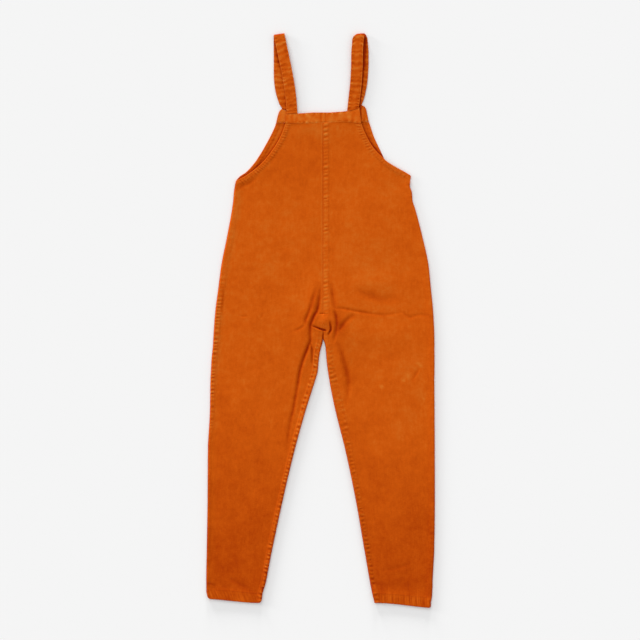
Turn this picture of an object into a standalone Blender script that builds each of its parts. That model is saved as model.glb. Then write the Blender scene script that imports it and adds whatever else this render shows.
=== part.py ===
"""Bib overalls in washed needlecord, laid face down and flat, back panels uppermost.

Eight pieces are cut and sewn: two fronts and two backs, each a bib half and a leg in one,
a folded band across the top of the front and of the back, and two straps. Every piece is
a wall of cloth. The fronts lie on the surface, the backs lie on the fronts, and the two
turn into each other in a soft roll along the side seams and the inseams. Each strap
leaves the back band, turns over in a fold and comes down beneath itself to the front band.

Lengths in the tables are millimetres. The origin is the middle of the laid garment at the
surface it lies on: +X to the wearer's right, +Y from the hems to the straps, +Z up.
"""
import math
from collections import namedtuple

import bmesh
import bpy
import numpy as np

MM = 0.001

# ---- Driving dimensions ---------------------------------------------------------------
CLOTH = 1.5             # one ply of washed needlecord
SEAM_GAP = 0.3          # clearance between two pieces at a seam
ROLL = 2.8              # outer radius of the roll along side seams and inseams
BAND = 3.0              # thickness of a folded band
STRAP = 3.0             # thickness of a strap, sewn double
CORNER = 1.1            # rounding of the edges of bands and straps
CORNER_SHARE = 0.3      # most of a narrow strip's width that one rounded edge takes
CORNER_DEPTH = 0.7      # depth of that rounding against its width
STRAP_FOLD_TOP = 732.5  # highest point of the garment, at the fold of the straps
ARMPIT = 357.8          # where the armhole ends and the side seam starts
SIDE_ROLL = 22.0        # length below the armpit over which the side seam's roll forms
INSEAM_TOP = -20.0      # where the inseams' roll starts to form, just below the crotch
INSEAM_ROLL = 30.0      # length over which it forms
SIDE_REACH = 26.0       # how far in from the side seam its roll holds the back cloth up
INSEAM_REACH = 14.0     # the same beside an inseam
HEM_DEPTH = 26.0        # turned-up hem
HEM_RISE = 0.9          # how far the hem's extra ply stands up
ARMHOLE_HEM = 11.0      # narrow hem turned along the armholes
ARMHOLE_RISE = 0.7
LAID_HEIGHT = 4.6       # top of the back cloth where it lies closest on the front
EDGE_HEIGHT = 2 * ROLL + SEAM_GAP
FELL_STEP = 1.5         # width of the slope beside a raised seam or hem

CLOTH_COLOUR = (0.578, 0.098, 0.0044, 1.0)
TRIM_COLOUR = (0.600, 0.114, 0.0070, 1.0)

# ---- Outline --------------------------------------------------------------------------
# The armholes, from the bands down to the armpits.
Armhole = namedtuple("Armhole", "height left_back left_front right_front right_back")
ARMHOLES = (
    Armhole(510.0, -89.0, -112.5, 122.0, 103.0),
    Armhole(500.6, -91.3, -114.8, 125.7, 105.3),
    Armhole(470.0, -101.0, -128.5, 135.9, 115.5),
    Armhole(449.6, -110.4, -139.5, 145.3, 126.5),
    Armhole(429.2, -123.2, -151.2, 155.0, 143.5),
    Armhole(416.4, -132.5, -159.3, 161.0, 158.0),
    Armhole(408.8, -138.5, -164.2, 165.0, 166.5),
    Armhole(388.4, -158.5, -180.8, 191.5, 198.9),
    Armhole(378.2, -173.5, -191.0, 210.0, 217.5),
    Armhole(368.0, -192.5, -205.8, 225.5, 230.3),
    Armhole(357.8, -215.7, -215.7, 228.7, 228.7),
)

# Sections from the armpits to the hems; the inner edges leave the centre seam at the crotch.
Section = namedtuple("Section", "height left_side left_inner right_inner right_side")
SECTIONS = (
    Section(357.8, -215.7, 5.9, 6.3, 228.7),
    Section(345.0, -218.6, 5.9, 6.3, 227.6),
    Section(327.0, -221.3, 5.9, 6.3, 233.0),
    Section(306.8, -223.0, 5.9, 6.3, 234.6),
    Section(286.4, -225.7, 5.9, 6.3, 241.0),
    Section(204.8, -240.7, 5.9, 6.3, 262.1),
    Section(143.6, -253.0, 5.9, 6.3, 275.1),
    Section(82.4, -261.1, 5.9, 6.3, 281.5),
    Section(21.2, -269.0, 5.9, 6.3, 287.4),
    Section(-45.0, -273.8, 5.8, 7.2, 290.4),
    Section(-60.4, -274.6, 3.6, 11.4, 290.5),
    Section(-75.7, -275.9, -0.8, 13.3, 290.5),
    Section(-101.2, -278.5, -4.8, 15.3, 290.7),
    Section(-126.7, -279.7, -6.9, 18.4, 290.6),
    Section(-152.2, -281.0, -13.8, 22.5, 290.2),
    Section(-177.7, -281.5, -21.9, 27.0, 290.4),
    Section(-228.7, -282.3, -38.0, 37.7, 290.7),
    Section(-330.7, -287.6, -66.3, 63.2, 291.2),
    Section(-458.2, -288.4, -96.6, 89.8, 291.5),
    Section(-585.7, -290.4, -123.9, 111.9, 289.9),
    Section(-662.2, -291.7, -139.5, 125.2, 285.9),
    Section(-690.0, -290.9, -148.4, 130.5, 285.4),
    Section(-702.0, -288.6, -149.2, 132.9, 284.3),
    Section(-708.0, -284.5, -149.8, 134.5, 283.4),
    Section(-720.0, -284.5, -153.0, 137.0, 281.5),
)

# Hem lines: each leg's lower end is cut on a slight slant, lower at one seam.
Hem = namedtuple("Hem", "end side_drop inner_drop")
HEMS = {"left": Hem(-708.0, 0.0, 10.5), "right": Hem(-720.0, 12.5, 0.0)}
HEM_FADE = 90.0
BAND_LINE = 504.0       # where the panels meet their bands, before the bands' own slants
BAND_FADE = 50.0

# ---- Bands ----------------------------------------------------------------------------
Band = namedtuple("Band", "x top bottom")
BACK_BAND = (
    Band(-90.0, 508.5, 502.2),
    Band(-88.4, 527.8, 502.3),
    Band(-57.6, 528.6, 502.6),
    Band(-20.0, 531.2, 503.0),
    Band(24.0, 531.2, 505.0),
    Band(58.0, 533.6, 507.0),
    Band(80.0, 536.5, 505.0),
    Band(98.4, 542.2, 502.5),
    Band(100.8, 530.5, 502.3),
    Band(103.6, 507.5, 502.2),
)
FRONT_BAND = (
    Band(-113.0, 508.0, 504.6),
    Band(-109.8, 521.0, 504.7),
    Band(-106.5, 532.2, 504.7),
    Band(-103.5, 536.8, 504.8),
    Band(-98.5, 540.6, 504.8),
    Band(-68.0, 529.0, 505.2),
    Band(-40.0, 526.0, 505.6),
    Band(0.0, 525.0, 506.1),
    Band(50.0, 527.0, 506.8),
    Band(72.0, 532.5, 507.0),
    Band(105.6, 549.9, 507.3),
    Band(111.0, 547.5, 507.4),
    Band(115.6, 541.8, 507.4),
    Band(118.0, 532.5, 507.5),
    Band(121.4, 515.0, 507.5),
    Band(122.6, 510.5, 507.5),
)
BACK_BAND_HEIGHT = BAND + 0.4

# ---- Straps ---------------------------------------------------------------------------
# Middle line of each run by height; centre is the height of the strap's mid-plane.
Run = namedtuple("Run", "height x centre")
Strap = namedtuple("Strap", "width fold_x upper lower")
STRAPS = {
    "left": Strap(
        width=28.0,
        fold_x=-105.6,
        upper=(
            Run(529.4, -72.6, 4.9),
            Run(566.9, -75.6, 5.2),
            Run(599.3, -79.8, 5.8),
            Run(637.0, -86.4, 6.5),
            Run(674.5, -94.2, 6.9),
            Run(728.0, -105.2, 7.0),
        ),
        lower=(
            Run(541.4, -84.8, 1.5),
            Run(568.7, -95.9, 1.5),
            Run(594.2, -102.5, 1.5),
            Run(625.5, -105.4, 1.5),
            Run(671.4, -105.5, 1.5),
            Run(728.0, -105.8, 1.5),
        ),
    ),
    "right": Strap(
        width=30.0,
        fold_x=101.0,
        upper=(
            Run(536.0, 82.5, 4.9),
            Run(574.5, 86.9, 5.6),
            Run(607.9, 90.4, 6.6),
            Run(650.5, 92.6, 7.8),
            Run(681.6, 93.0, 8.3),
            Run(728.0, 95.5, 8.4),
        ),
        lower=(
            Run(549.0, 90.3, 1.5),
            Run(585.7, 100.1, 1.5),
            Run(616.3, 105.2, 1.5),
            Run(657.4, 107.5, 1.5),
            Run(684.7, 107.5, 1.5),
            Run(728.0, 104.5, 1.5),
        ),
    ),
}
RUN_RINGS = 13
FOLD_RINGS = 7
RUN_REACH = 4.0         # length either side of a section that sets a run's direction
FOLD_REACH = 6.0        # distance before the fold where its direction is read
SHARP_ANGLE = 60.0      # degrees; a softer turn of the cloth is shaded smooth
END_TRIM = 24.0         # length over which a strap's end turns to follow the band's edge

# ---- Raised seams ---------------------------------------------------------------------
# Width of the felled strip beside each edge, and how far its extra plies stand up.
Fell = namedtuple("Fell", "height side_width side_rise inner_width inner_rise")
FELLS = {
    "left": (
        Fell(510.0, ARMHOLE_HEM, ARMHOLE_RISE, 15.0, 0.0),
        Fell(368.0, ARMHOLE_HEM, ARMHOLE_RISE, 15.0, 0.0),
        Fell(340.0, 13.0, 0.4, 15.0, 0.0),
        Fell(200.0, 15.0, 0.5, 15.0, 0.0),
        Fell(90.0, 15.0, 0.9, 15.0, 0.0),
        Fell(-30.0, 15.0, 0.9, 13.0, 0.1),
        Fell(-60.0, 14.0, 0.9, 12.0, 0.9),
        Fell(-720.0, 13.0, 0.7, 12.0, 0.8),
    ),
    "right": (
        Fell(510.0, ARMHOLE_HEM, ARMHOLE_RISE, 15.3, 1.0),
        Fell(368.0, ARMHOLE_HEM, ARMHOLE_RISE, 15.3, 1.0),
        Fell(340.0, 12.0, 0.3, 15.3, 1.0),
        Fell(18.0, 12.0, 0.3, 15.3, 1.0),
        Fell(-30.0, 12.0, 0.3, 13.0, 0.7),
        Fell(-60.0, 12.0, 0.3, 12.0, 0.9),
        Fell(-240.0, 12.0, 0.3, 20.0, 0.9),
        Fell(-400.0, 12.0, 0.3, 15.0, 0.9),
        Fell(-720.0, 12.0, 0.3, 11.0, 0.8),
    ),
}

# ---- Folds ----------------------------------------------------------------------------
# Each leg's long crease beside its inseam, starting next to the centre seam: how far in
# from the inner edge it runs, half its width and its depth.
Crease = namedtuple("Crease", "height inset half depth")
CREASES = {
    "left": (
        Crease(510.0, 40.0, 8.0, 0.0),
        Crease(150.0, 22.0, 5.0, 0.0),
        Crease(95.0, 13.0, 4.0, 0.0),
        Crease(60.0, 11.5, 4.0, 2.0),
        Crease(30.0, 13.0, 4.5, 3.2),
        Crease(-5.0, 30.0, 7.0, 3.4),
        Crease(-25.0, 33.0, 7.0, 2.8),
        Crease(-55.0, 29.0, 7.0, 3.0),
        Crease(-76.0, 31.0, 7.0, 3.4),
        Crease(-106.0, 37.0, 8.0, 3.4),
        Crease(-139.0, 43.0, 8.0, 3.2),
        Crease(-173.0, 40.0, 8.0, 3.0),
        Crease(-236.0, 35.0, 8.0, 2.6),
        Crease(-287.0, 26.0, 7.0, 2.0),
        Crease(-326.0, 22.0, 6.0, 1.4),
        Crease(-369.0, 20.0, 5.0, 0.8),
        Crease(-420.0, 21.0, 5.0, 0.0),
        Crease(-720.0, 24.0, 6.0, 0.0),
    ),
    "right": (
        Crease(510.0, 40.0, 8.0, 0.0),
        Crease(60.0, 30.0, 7.0, 0.0),
        Crease(26.0, 30.0, 7.0, 1.6),
        Crease(-7.0, 39.0, 7.0, 2.4),
        Crease(-30.0, 33.0, 7.0, 2.0),
        Crease(-54.0, 26.0, 7.0, 2.0),
        Crease(-88.0, 40.0, 8.0, 2.2),
        Crease(-116.0, 44.0, 8.0, 2.2),
        Crease(-157.0, 50.0, 8.0, 2.0),
        Crease(-203.0, 36.0, 8.0, 1.8),
        Crease(-230.0, 32.0, 7.0, 0.8),
        Crease(-300.0, 32.0, 7.0, 0.0),
        Crease(-720.0, 26.0, 7.0, 0.0),
    ),
}
LIP_OFFSET = 1.6        # from the bottom of a crease to its lip, in half-widths
LIP_RISE = 0.5          # height of the lip against the crease's depth

# Soft swellings of the cloth: centre, spread along x and y, and height.
Swell = namedtuple("Swell", "x y spread_x spread_y rise")
SWELLS = (
    Swell(10.0, 10.0, 95.0, 85.0, 3.4),
    Swell(9.9, 0.8, 13.0, 12.0, 3.2),
    Swell(-18.0, 45.0, 14.0, 45.0, 1.6),
    Swell(-45.0, -60.0, 22.0, 70.0, 1.8),
    Swell(52.0, -70.0, 24.0, 80.0, 1.4),
    Swell(151.0, 95.0, 70.0, 26.0, 0.9),
    Swell(160.0, -35.0, 110.0, 34.0, 1.1),
    Swell(-130.0, 150.0, 70.0, 120.0, 0.9),
    Swell(120.0, 240.0, 90.0, 90.0, 0.9),
    Swell(-200.0, -300.0, 55.0, 160.0, 0.8),
    Swell(190.0, -330.0, 60.0, 170.0, 0.8),
    Swell(0.0, 505.0, 150.0, 36.0, 1.3),
    Swell(-150.0, 395.0, 34.0, 34.0, 0.8),
    Swell(170.0, 395.0, 34.0, 34.0, 0.6),
)

# Straight folds in the cloth: a trough where rise is negative.
Fold = namedtuple("Fold", "x0 y0 x1 y1 width rise")
FOLDS = (
    Fold(-39.0, -12.0, -58.0, -24.0, 7.0, -1.2),
    Fold(38.0, 29.0, 99.0, 21.0, 7.0, -1.0),
    Fold(99.0, 21.0, 217.0, 15.0, 7.0, -1.3),
    Fold(217.0, 15.0, 286.0, 13.5, 7.0, -1.0),
    Fold(83.0, 9.0, 50.0, -19.0, 8.0, -1.4),
    Fold(-227.0, -659.7, -169.8, -681.1, 9.0, -0.7),
    Fold(156.6, -640.8, 217.8, -624.0, 9.0, -0.7),
)

# ---- How finely each layer is divided -------------------------------------------------
BACK_COLUMNS = 3        # columns between the side seam's strip and the crease
FRONT_COLUMNS = 1       # columns between the side seam and the inner edge
HEM_ROWS = (55.0, 40.0, HEM_DEPTH + FELL_STEP, HEM_DEPTH, 12.0, 5.0, 1.5, 0.0)
Zone = namedtuple("Zone", "top bottom step")
BACK_ZONES = (
    Zone(BAND_LINE, 402.0, 17.0),
    Zone(402.0, 346.0, 7.0),
    Zone(346.0, 110.0, 30.0),
    Zone(110.0, -80.0, 9.5),
    Zone(-80.0, -240.0, 20.0),
    Zone(-240.0, -640.0, 40.0),
)
FRONT_ZONES = (
    Zone(BAND_LINE, 400.0, 22.0),
    Zone(400.0, 346.0, 9.0),
    Zone(346.0, 20.0, 66.0),
    Zone(20.0, -80.0, 12.5),
    Zone(-80.0, -240.0, 32.0),
    Zone(-240.0, -640.0, 80.0),
)


# ---- Helpers --------------------------------------------------------------------------
def column(table, name):
    """One named column of a table, as an array."""
    return np.array([getattr(row, name) for row in table])


def smooth(knots, values, at):
    """Read a curve through (knots, values) that never overshoots them."""
    order = np.argsort(knots)
    knots = np.asarray(knots, float)[order]
    values = np.asarray(values, float)[order]
    at = np.clip(at, knots[0], knots[-1])
    step = np.diff(knots)
    slope = np.diff(values) / step
    tangent = np.zeros(len(knots))
    tangent[0] = slope[0]
    tangent[-1] = slope[-1]
    turning = slope[:-1] * slope[1:] > 0
    mean = 2 * slope[:-1] * slope[1:] / np.where(turning, slope[:-1] + slope[1:], 1.0)
    tangent[1:-1] = np.where(turning, mean, 0.0)
    cell = np.clip(np.searchsorted(knots, at, side="right") - 1, 0, len(step) - 1)
    t = (at - knots[cell]) / step[cell]
    start = (1 + 2 * t) * (1 - t) ** 2 * values[cell]
    leave = t * (1 - t) ** 2 * step[cell] * tangent[cell]
    end = t * t * (3 - 2 * t) * values[cell + 1]
    arrive = t * t * (t - 1) * step[cell] * tangent[cell + 1]
    return start + leave + end + arrive


def read(table, name, at):
    """Read one column of a table at a height."""
    return smooth(column(table, "height"), column(table, name), at)


def section_of(table, at):
    """A whole row of a table, read at a height."""
    row = type(table[0])
    return row(at, *(float(read(table, name, at)) for name in row._fields[1:]))


def band_edge(band, name, x):
    """Height of a band's top or bottom edge, which runs straight between its sections."""
    return float(np.interp(x, column(band, "x"), column(band, name)))


def ease(value, low, high):
    """0 at low, 1 at high, with soft ends."""
    t = np.clip((value - low) / (high - low), 0.0, 1.0)
    return t * t * (3 - 2 * t)


def heights(zones, ends):
    """Row heights from the top down: every zone's steps, then the given last rows."""
    rows = []
    for zone in zones:
        count = round((zone.top - zone.bottom) / zone.step)
        rows += [zone.top - (zone.top - zone.bottom) * i / count for i in range(count)]
    return rows + list(ends)


# ---- Where the cloth lies -------------------------------------------------------------
def side_edge(side, layer, y):
    """X of a panel's outer edge: armhole above the armpit, side seam below it."""
    if y > ARMPIT:
        return read(ARMHOLES, f"{side}_{layer}", y)
    return read(SECTIONS, f"{side}_side", y)


def inner_edge(side, y):
    """X of a panel's inner edge: centre seam above the crotch, inseam below it."""
    return read(SECTIONS, f"{side}_inner", min(y, ARMPIT))


def fold_height(x, y):
    """How far all folds and swellings move the back cloth up or down at a point."""
    total = 0.0
    for swell in SWELLS:
        dx = (x - swell.x) / swell.spread_x
        dy = (y - swell.y) / swell.spread_y
        total += swell.rise * math.exp(-dx * dx - dy * dy)
    for fold in FOLDS:
        run = (fold.x1 - fold.x0, fold.y1 - fold.y0)
        length = math.hypot(*run)
        along = ((x - fold.x0) * run[0] + (y - fold.y0) * run[1]) / length ** 2
        along = min(max(along, 0.0), 1.0)
        away = math.hypot(x - fold.x0 - along * run[0], y - fold.y0 - along * run[1])
        total += fold.rise * math.exp(-(away / fold.width) ** 2)
    return total


def crease_height(side, y, inset):
    """The long crease beside the inseam: a trough with a soft lip on its outer side."""
    crease = section_of(CREASES[side], y)
    away = (inset - crease.inset) / crease.half
    trough = math.exp(-away ** 2)
    lip = math.exp(-(away - LIP_OFFSET) ** 2)
    return crease.depth * (LIP_RISE * lip - trough)


def slanted(side, x, y, layer_top):
    """Move a row's point so that the first and last rows follow the band and the hem."""
    hem = HEMS[side]
    near_hem = 1.0 - ease(y, hem.end, hem.end + HEM_FADE)
    outer = side_edge(side, "back", hem.end)
    inner = inner_edge(side, hem.end)
    across = (x - outer) / (inner - outer)
    drop = hem.side_drop + (hem.inner_drop - hem.side_drop) * min(max(across, 0.0), 1.0)
    band = FRONT_BAND if layer_top == "front" else BACK_BAND
    seam_line = band_edge(band, "bottom", x) - SEAM_GAP
    near_band = ease(y, BAND_LINE - BAND_FADE, BAND_LINE)
    return y - drop * near_hem + (seam_line - BAND_LINE) * near_band


def panel_columns(width, side_strip, inner_strip, crease, spread):
    """Distances of a row's points from the panel's side edge, outermost first."""
    roll = [0.0, ROLL * (1 - math.sqrt(0.5)), ROLL]
    outer = roll + [side_strip, side_strip + FELL_STEP]
    inner = roll + ([inner_strip, inner_strip + FELL_STEP] if inner_strip else [])
    if crease:
        inner += [crease.inset + crease.half * step for step in (-1.0, 0.0, LIP_OFFSET)]
    inner = [width - inset for inset in inner]
    start, end = outer[-1], min(inner)
    between = [start + (end - start) * (i + 1) / (spread + 1) for i in range(spread)]
    return outer + between + sorted(inner)


def roll_angle(distance, amount):
    """How far the cloth has turned towards the seam at a distance from its edge."""
    if distance >= ROLL:
        return 0.0
    return amount * math.acos(distance / ROLL)


def panel_ring(side, layer, y):
    """One closed section of a panel: its outer face side to inner, then back along its wall."""
    outward = -1.0 if side == "left" else 1.0
    edge = side_edge(side, layer, slanted(side, side_edge(side, layer, y), y, layer))
    width = abs(inner_edge(side, y) - edge)
    fell = section_of(FELLS[side], y)
    seam_roll = ease(ARMPIT - y, 0.0, SIDE_ROLL)
    inseam_roll = ease(INSEAM_TOP - y, 0.0, INSEAM_ROLL)
    if layer == "back":
        crease = section_of(CREASES[side], y)
        inner_strip = min(fell.inner_width, crease.inset - crease.half - 2 * FELL_STEP)
        distances = panel_columns(width, fell.side_width, inner_strip, crease, BACK_COLUMNS)
    else:
        distances = panel_columns(width, ARMHOLE_HEM, 0.0, None, FRONT_COLUMNS)
    hem_ply = ease(HEMS[side].end + HEM_DEPTH + FELL_STEP - y, 0.0, FELL_STEP)
    face, wall = [], []
    for distance in distances:
        inset = width - distance
        x = edge - outward * distance
        held = max(seam_roll * (1 - ease(distance, ROLL, SIDE_REACH)),
                   inseam_roll * (1 - ease(inset, ROLL, INSEAM_REACH)))
        turn = roll_angle(distance, seam_roll) - roll_angle(inset, inseam_roll)
        lean = outward * math.sin(turn) * CLOTH
        drop = ROLL * (1 - math.cos(turn))
        if layer == "back":
            free = LAID_HEIGHT + fold_height(x, y)
            free += crease_height(side, y, inset)
            free = max(free, 2 * CLOTH + 2 * SEAM_GAP + ARMHOLE_RISE)
            top = free + (EDGE_HEIGHT - free) * held - drop
            strip = fell.side_rise * (distance <= fell.side_width)
            strip += fell.inner_rise * (inset <= inner_strip)
            ply = (strip + HEM_RISE * hem_ply) * math.cos(turn)
            face.append((x, slanted(side, x, y, layer), top + ply))
            wall.append((x - lean, slanted(side, x, y, layer), top - CLOTH * math.cos(turn)))
        else:
            ply = ARMHOLE_RISE * (distance <= ARMHOLE_HEM) * (1 - seam_roll)
            face.append((x, slanted(side, x, y, layer), drop))
            top = drop + CLOTH * math.cos(turn) + ply
            wall.append((x - lean, slanted(side, x, y, layer), top))
    return face + wall[::-1]


def band_ring(station, underside):
    """One closed section of a folded band, a flat strip with rounded long edges."""
    return rounded_strip(
        middle=(station.x, (station.top + station.bottom) / 2, underside + BAND / 2),
        across=(0.0, 1.0, 0.0),
        up=(0.0, 0.0, 1.0),
        width=station.top - station.bottom,
        thickness=BAND,
    )


def rounded_strip(middle, across, up, width, thickness):
    """Eight points round a strip's section, with its corners taken off."""
    half, rise = width / 2, thickness / 2
    corner = min(CORNER, CORNER_SHARE * width)
    flat, side = half - corner, rise - CORNER_DEPTH * corner
    outline = [(-half, -side), (-flat, -rise), (flat, -rise), (half, -side),
               (half, side), (flat, rise), (-flat, rise), (-half, side)]
    middle, across, up = np.array(middle), np.array(across), np.array(up)
    return [tuple(middle + across * a + up * b) for a, b in outline]


def run_direction(run, y):
    """Unit direction of a strap's run towards the fold, in plan."""
    dx = read(run, "x", y + RUN_REACH) - read(run, "x", y - RUN_REACH)
    length = math.hypot(dx, 2 * RUN_REACH)
    return np.array([dx / length, 2 * RUN_REACH / length, 0.0])


def run_ring(strap, run, y, face_up, band):
    """One closed section of a strap's run; its end follows the top edge of its band."""
    direction = run_direction(run, y)
    across = np.array([direction[1], -direction[0], 0.0])
    middle = (read(run, "x", y), y, read(run, "centre", y))
    ring = rounded_strip(middle, across, (0.0, 0.0, face_up), strap.width, STRAP)
    trim = 1.0 - ease(y, run[0].height, run[0].height + END_TRIM)
    end = run[0].height - y
    return [(px, py + (band_edge(band, "top", px) + SEAM_GAP - py - end) * trim, pz)
            for px, py, pz in ring]


def strap_rings(strap):
    """Sections along a strap: up from the back band, over the fold, down to the front band."""
    high, low = strap.upper[-1].centre, strap.lower[-1].centre
    bend = (high - low) / 2
    fold_start = STRAP_FOLD_TOP - STRAP / 2 - bend
    rise = np.linspace(strap.upper[0].height, fold_start, RUN_RINGS)
    fall = np.linspace(fold_start, strap.lower[0].height, RUN_RINGS)
    rings = [run_ring(strap, strap.upper, y, 1.0, BACK_BAND) for y in rise]
    upper_way = run_direction(strap.upper, fold_start - FOLD_REACH)
    lower_way = run_direction(strap.lower, fold_start - FOLD_REACH)
    start_x = read(strap.upper, "x", fold_start)
    end_x = read(strap.lower, "x", fold_start)
    for step in range(1, FOLD_RINGS):
        angle = math.pi * step / FOLD_RINGS
        share = step / FOLD_RINGS
        way = upper_way * (1 - share) + lower_way * share
        way /= np.linalg.norm(way)
        x = smooth([0.0, 0.5, 1.0], [start_x, strap.fold_x, end_x], share)
        up = np.array([0.0, 0.0, math.cos(angle)]) + way * math.sin(angle)
        middle = np.array([x, fold_start, (high + low) / 2]) + up * bend
        middle[0] = x
        across = (way[1], -way[0], 0.0)
        rings.append(rounded_strip(middle, across, up, strap.width, STRAP))
    rings += [run_ring(strap, strap.lower, y, -1.0, FRONT_BAND) for y in fall]
    return rings


# ---- Making objects -------------------------------------------------------------------
def clear_scene():
    """Remove what the scene holds."""
    for thing in list(bpy.data.objects):
        bpy.data.objects.remove(thing)


def cloth_material(name, colour):
    """A matt dyed cotton."""
    material = bpy.data.materials.new(name)
    material.use_nodes = True
    shader = material.node_tree.nodes["Principled BSDF"]
    shader.inputs["Base Color"].default_value = colour
    shader.inputs["Roughness"].default_value = 0.9
    shader.inputs["Metallic"].default_value = 0.0
    return material


def loft(name, rings, colour, collection):
    """Skin a closed wall through rings of equal length and close both of its ends."""
    body = bmesh.new()
    loops = [[body.verts.new(np.array(point) * MM) for point in ring] for ring in rings]
    count = len(loops[0])
    for loop, following in zip(loops, loops[1:]):
        for i in range(count):
            j = (i + 1) % count
            body.faces.new((loop[i], loop[j], following[j], following[i]))
    for loop in (loops[0], loops[-1]):
        for i in range(count // 2 - 1):
            j = count - 1 - i
            body.faces.new((loop[i], loop[i + 1], loop[j - 1], loop[j]))
    bmesh.ops.recalc_face_normals(body, faces=body.faces)
    mesh = bpy.data.meshes.new(name)
    body.to_mesh(mesh)
    body.free()
    mesh.shade_smooth()
    mesh.set_sharp_from_angle(angle=math.radians(SHARP_ANGLE))
    mesh.materials.append(cloth_material(f"{name}_cloth", colour))
    piece = bpy.data.objects.new(name, mesh)
    collection.objects.link(piece)
    return piece


def build():
    """Cut and lay the eight pieces."""
    clear_scene()
    collection = bpy.data.collections.new("bib_overalls")
    bpy.context.scene.collection.children.link(collection)
    for side in ("left", "right"):
        last = [HEMS[side].end + rise for rise in HEM_ROWS]
        for layer, zones in (("back", BACK_ZONES), ("front", FRONT_ZONES)):
            rows = heights(zones, last)
            rings = [panel_ring(side, layer, y) for y in rows]
            loft(f"{layer}_{side}", rings, CLOTH_COLOUR, collection)
        loft(f"strap_{side}", strap_rings(STRAPS[side]), TRIM_COLOUR, collection)
    for name, band, underside in (("back_band", BACK_BAND, BACK_BAND_HEIGHT),
                                  ("front_band", FRONT_BAND, 0.0)):
        rings = [band_ring(station, underside) for station in band]
        loft(name, rings, TRIM_COLOUR, collection)


build()
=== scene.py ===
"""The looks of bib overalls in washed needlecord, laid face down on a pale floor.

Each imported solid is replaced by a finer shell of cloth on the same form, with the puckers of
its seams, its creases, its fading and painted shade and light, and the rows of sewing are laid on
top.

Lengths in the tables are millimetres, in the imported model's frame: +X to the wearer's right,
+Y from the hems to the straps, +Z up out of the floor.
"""
import logging
import math
from dataclasses import dataclass
from enum import Enum
from typing import Any, NamedTuple, Sequence

import bpy
import numpy as np
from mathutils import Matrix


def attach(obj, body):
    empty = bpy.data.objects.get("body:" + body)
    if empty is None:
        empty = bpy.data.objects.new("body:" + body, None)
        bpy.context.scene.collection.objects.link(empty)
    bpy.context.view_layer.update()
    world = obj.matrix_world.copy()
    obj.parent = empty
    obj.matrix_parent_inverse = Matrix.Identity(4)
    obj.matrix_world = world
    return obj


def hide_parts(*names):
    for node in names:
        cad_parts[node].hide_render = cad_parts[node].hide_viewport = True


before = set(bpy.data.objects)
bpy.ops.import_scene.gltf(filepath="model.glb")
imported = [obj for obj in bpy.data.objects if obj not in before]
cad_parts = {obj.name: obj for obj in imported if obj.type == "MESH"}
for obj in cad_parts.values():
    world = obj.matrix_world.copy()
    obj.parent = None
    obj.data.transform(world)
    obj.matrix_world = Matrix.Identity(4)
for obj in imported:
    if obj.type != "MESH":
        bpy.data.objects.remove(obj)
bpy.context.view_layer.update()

log = logging.getLogger("overalls")
Array = np.ndarray
MM = 0.001
TINY = 1e-6


class Side(Enum):
    """Half of the garment, with the sign of X on which it lies."""

    LEFT = -1.0
    RIGHT = 1.0


class Layer(Enum):
    """Whether a panel lies uppermost or on the floor."""

    BACK = "back"
    FRONT = "front"


class Edge(Enum):
    """The edge of a panel from which a row of stitches is measured."""

    SIDE = "side"
    INNER = "inner"


# ---- Curves and unevenness ------------------------------------------------------------
def smooth(knots: Array, values: Array, at: Array) -> Array:
    """Read a curve through points that never overshoots them.

    Args:
        knots: where the points are, in any order.
        values: the curve's value at each knot.
        at: where to read it; clipped to the knots.

    Returns:
        The curve's values.
    """
    order = np.argsort(knots)
    knots = np.asarray(knots, float)[order]
    values = np.asarray(values, float)[order]
    at = np.clip(at, knots[0], knots[-1])
    step = np.diff(knots)
    slope = np.diff(values) / step
    tangent = np.zeros(len(knots))
    tangent[0], tangent[-1] = slope[0], slope[-1]
    turning = slope[:-1] * slope[1:] > 0
    mean = 2 * slope[:-1] * slope[1:] / np.where(turning, slope[:-1] + slope[1:], 1.0)
    tangent[1:-1] = np.where(turning, mean, 0.0)
    cell = np.clip(np.searchsorted(knots, at, side="right") - 1, 0, len(step) - 1)
    t = (at - knots[cell]) / step[cell]
    start = (1 + 2 * t) * (1 - t) ** 2 * values[cell]
    leave = t * (1 - t) ** 2 * step[cell] * tangent[cell]
    end = t * t * (3 - 2 * t) * values[cell + 1]
    arrive = t * t * (t - 1) * step[cell] * tangent[cell + 1]
    return start + leave + end + arrive


def read(table: Sequence[NamedTuple], name: str, at: Array, by: str = "height") -> Array:
    """Read one named column of a table against another.

    Args:
        table: rows with named columns.
        name: the column to read.
        at: where to read it.
        by: the column that says where each row is.

    Returns:
        The column's values.
    """
    return smooth([getattr(row, by) for row in table], [getattr(row, name) for row in table], at)


def straight(table: Sequence[NamedTuple], name: str, at: Array) -> Array:
    """Read a column against x, running straight from row to row."""
    return np.interp(at, [row.x for row in table], [getattr(row, name) for row in table])


def named(kind: type[NamedTuple], rows: Sequence[Sequence[float]]) -> tuple[NamedTuple, ...]:
    """Name the columns of plain rows of numbers."""
    return tuple(kind(*row) for row in rows)


def stacked(*parts: Array | float) -> Array:
    """Join coordinates into points."""
    return np.stack(np.broadcast_arrays(*parts), axis=-1)


def unit(vectors: Array) -> Array:
    """Scale vectors to a length of 1."""
    return vectors / np.maximum(np.linalg.norm(vectors, axis=-1, keepdims=True), TINY)


def ease(value: Array, low: float, high: float) -> Array:
    """Go from 0 at low to 1 at high with soft ends."""
    t = np.clip((value - low) / (high - low), 0.0, 1.0)
    return t * t * (3 - 2 * t)


def bell(value: Array, middle: float | Array = 0.0, half: float | Array = 1.0) -> Array:
    """Read a soft hump, 1 in the middle and nearly 0 past two half widths."""
    t = (value - middle) / half
    return np.exp(-t * t)


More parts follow.
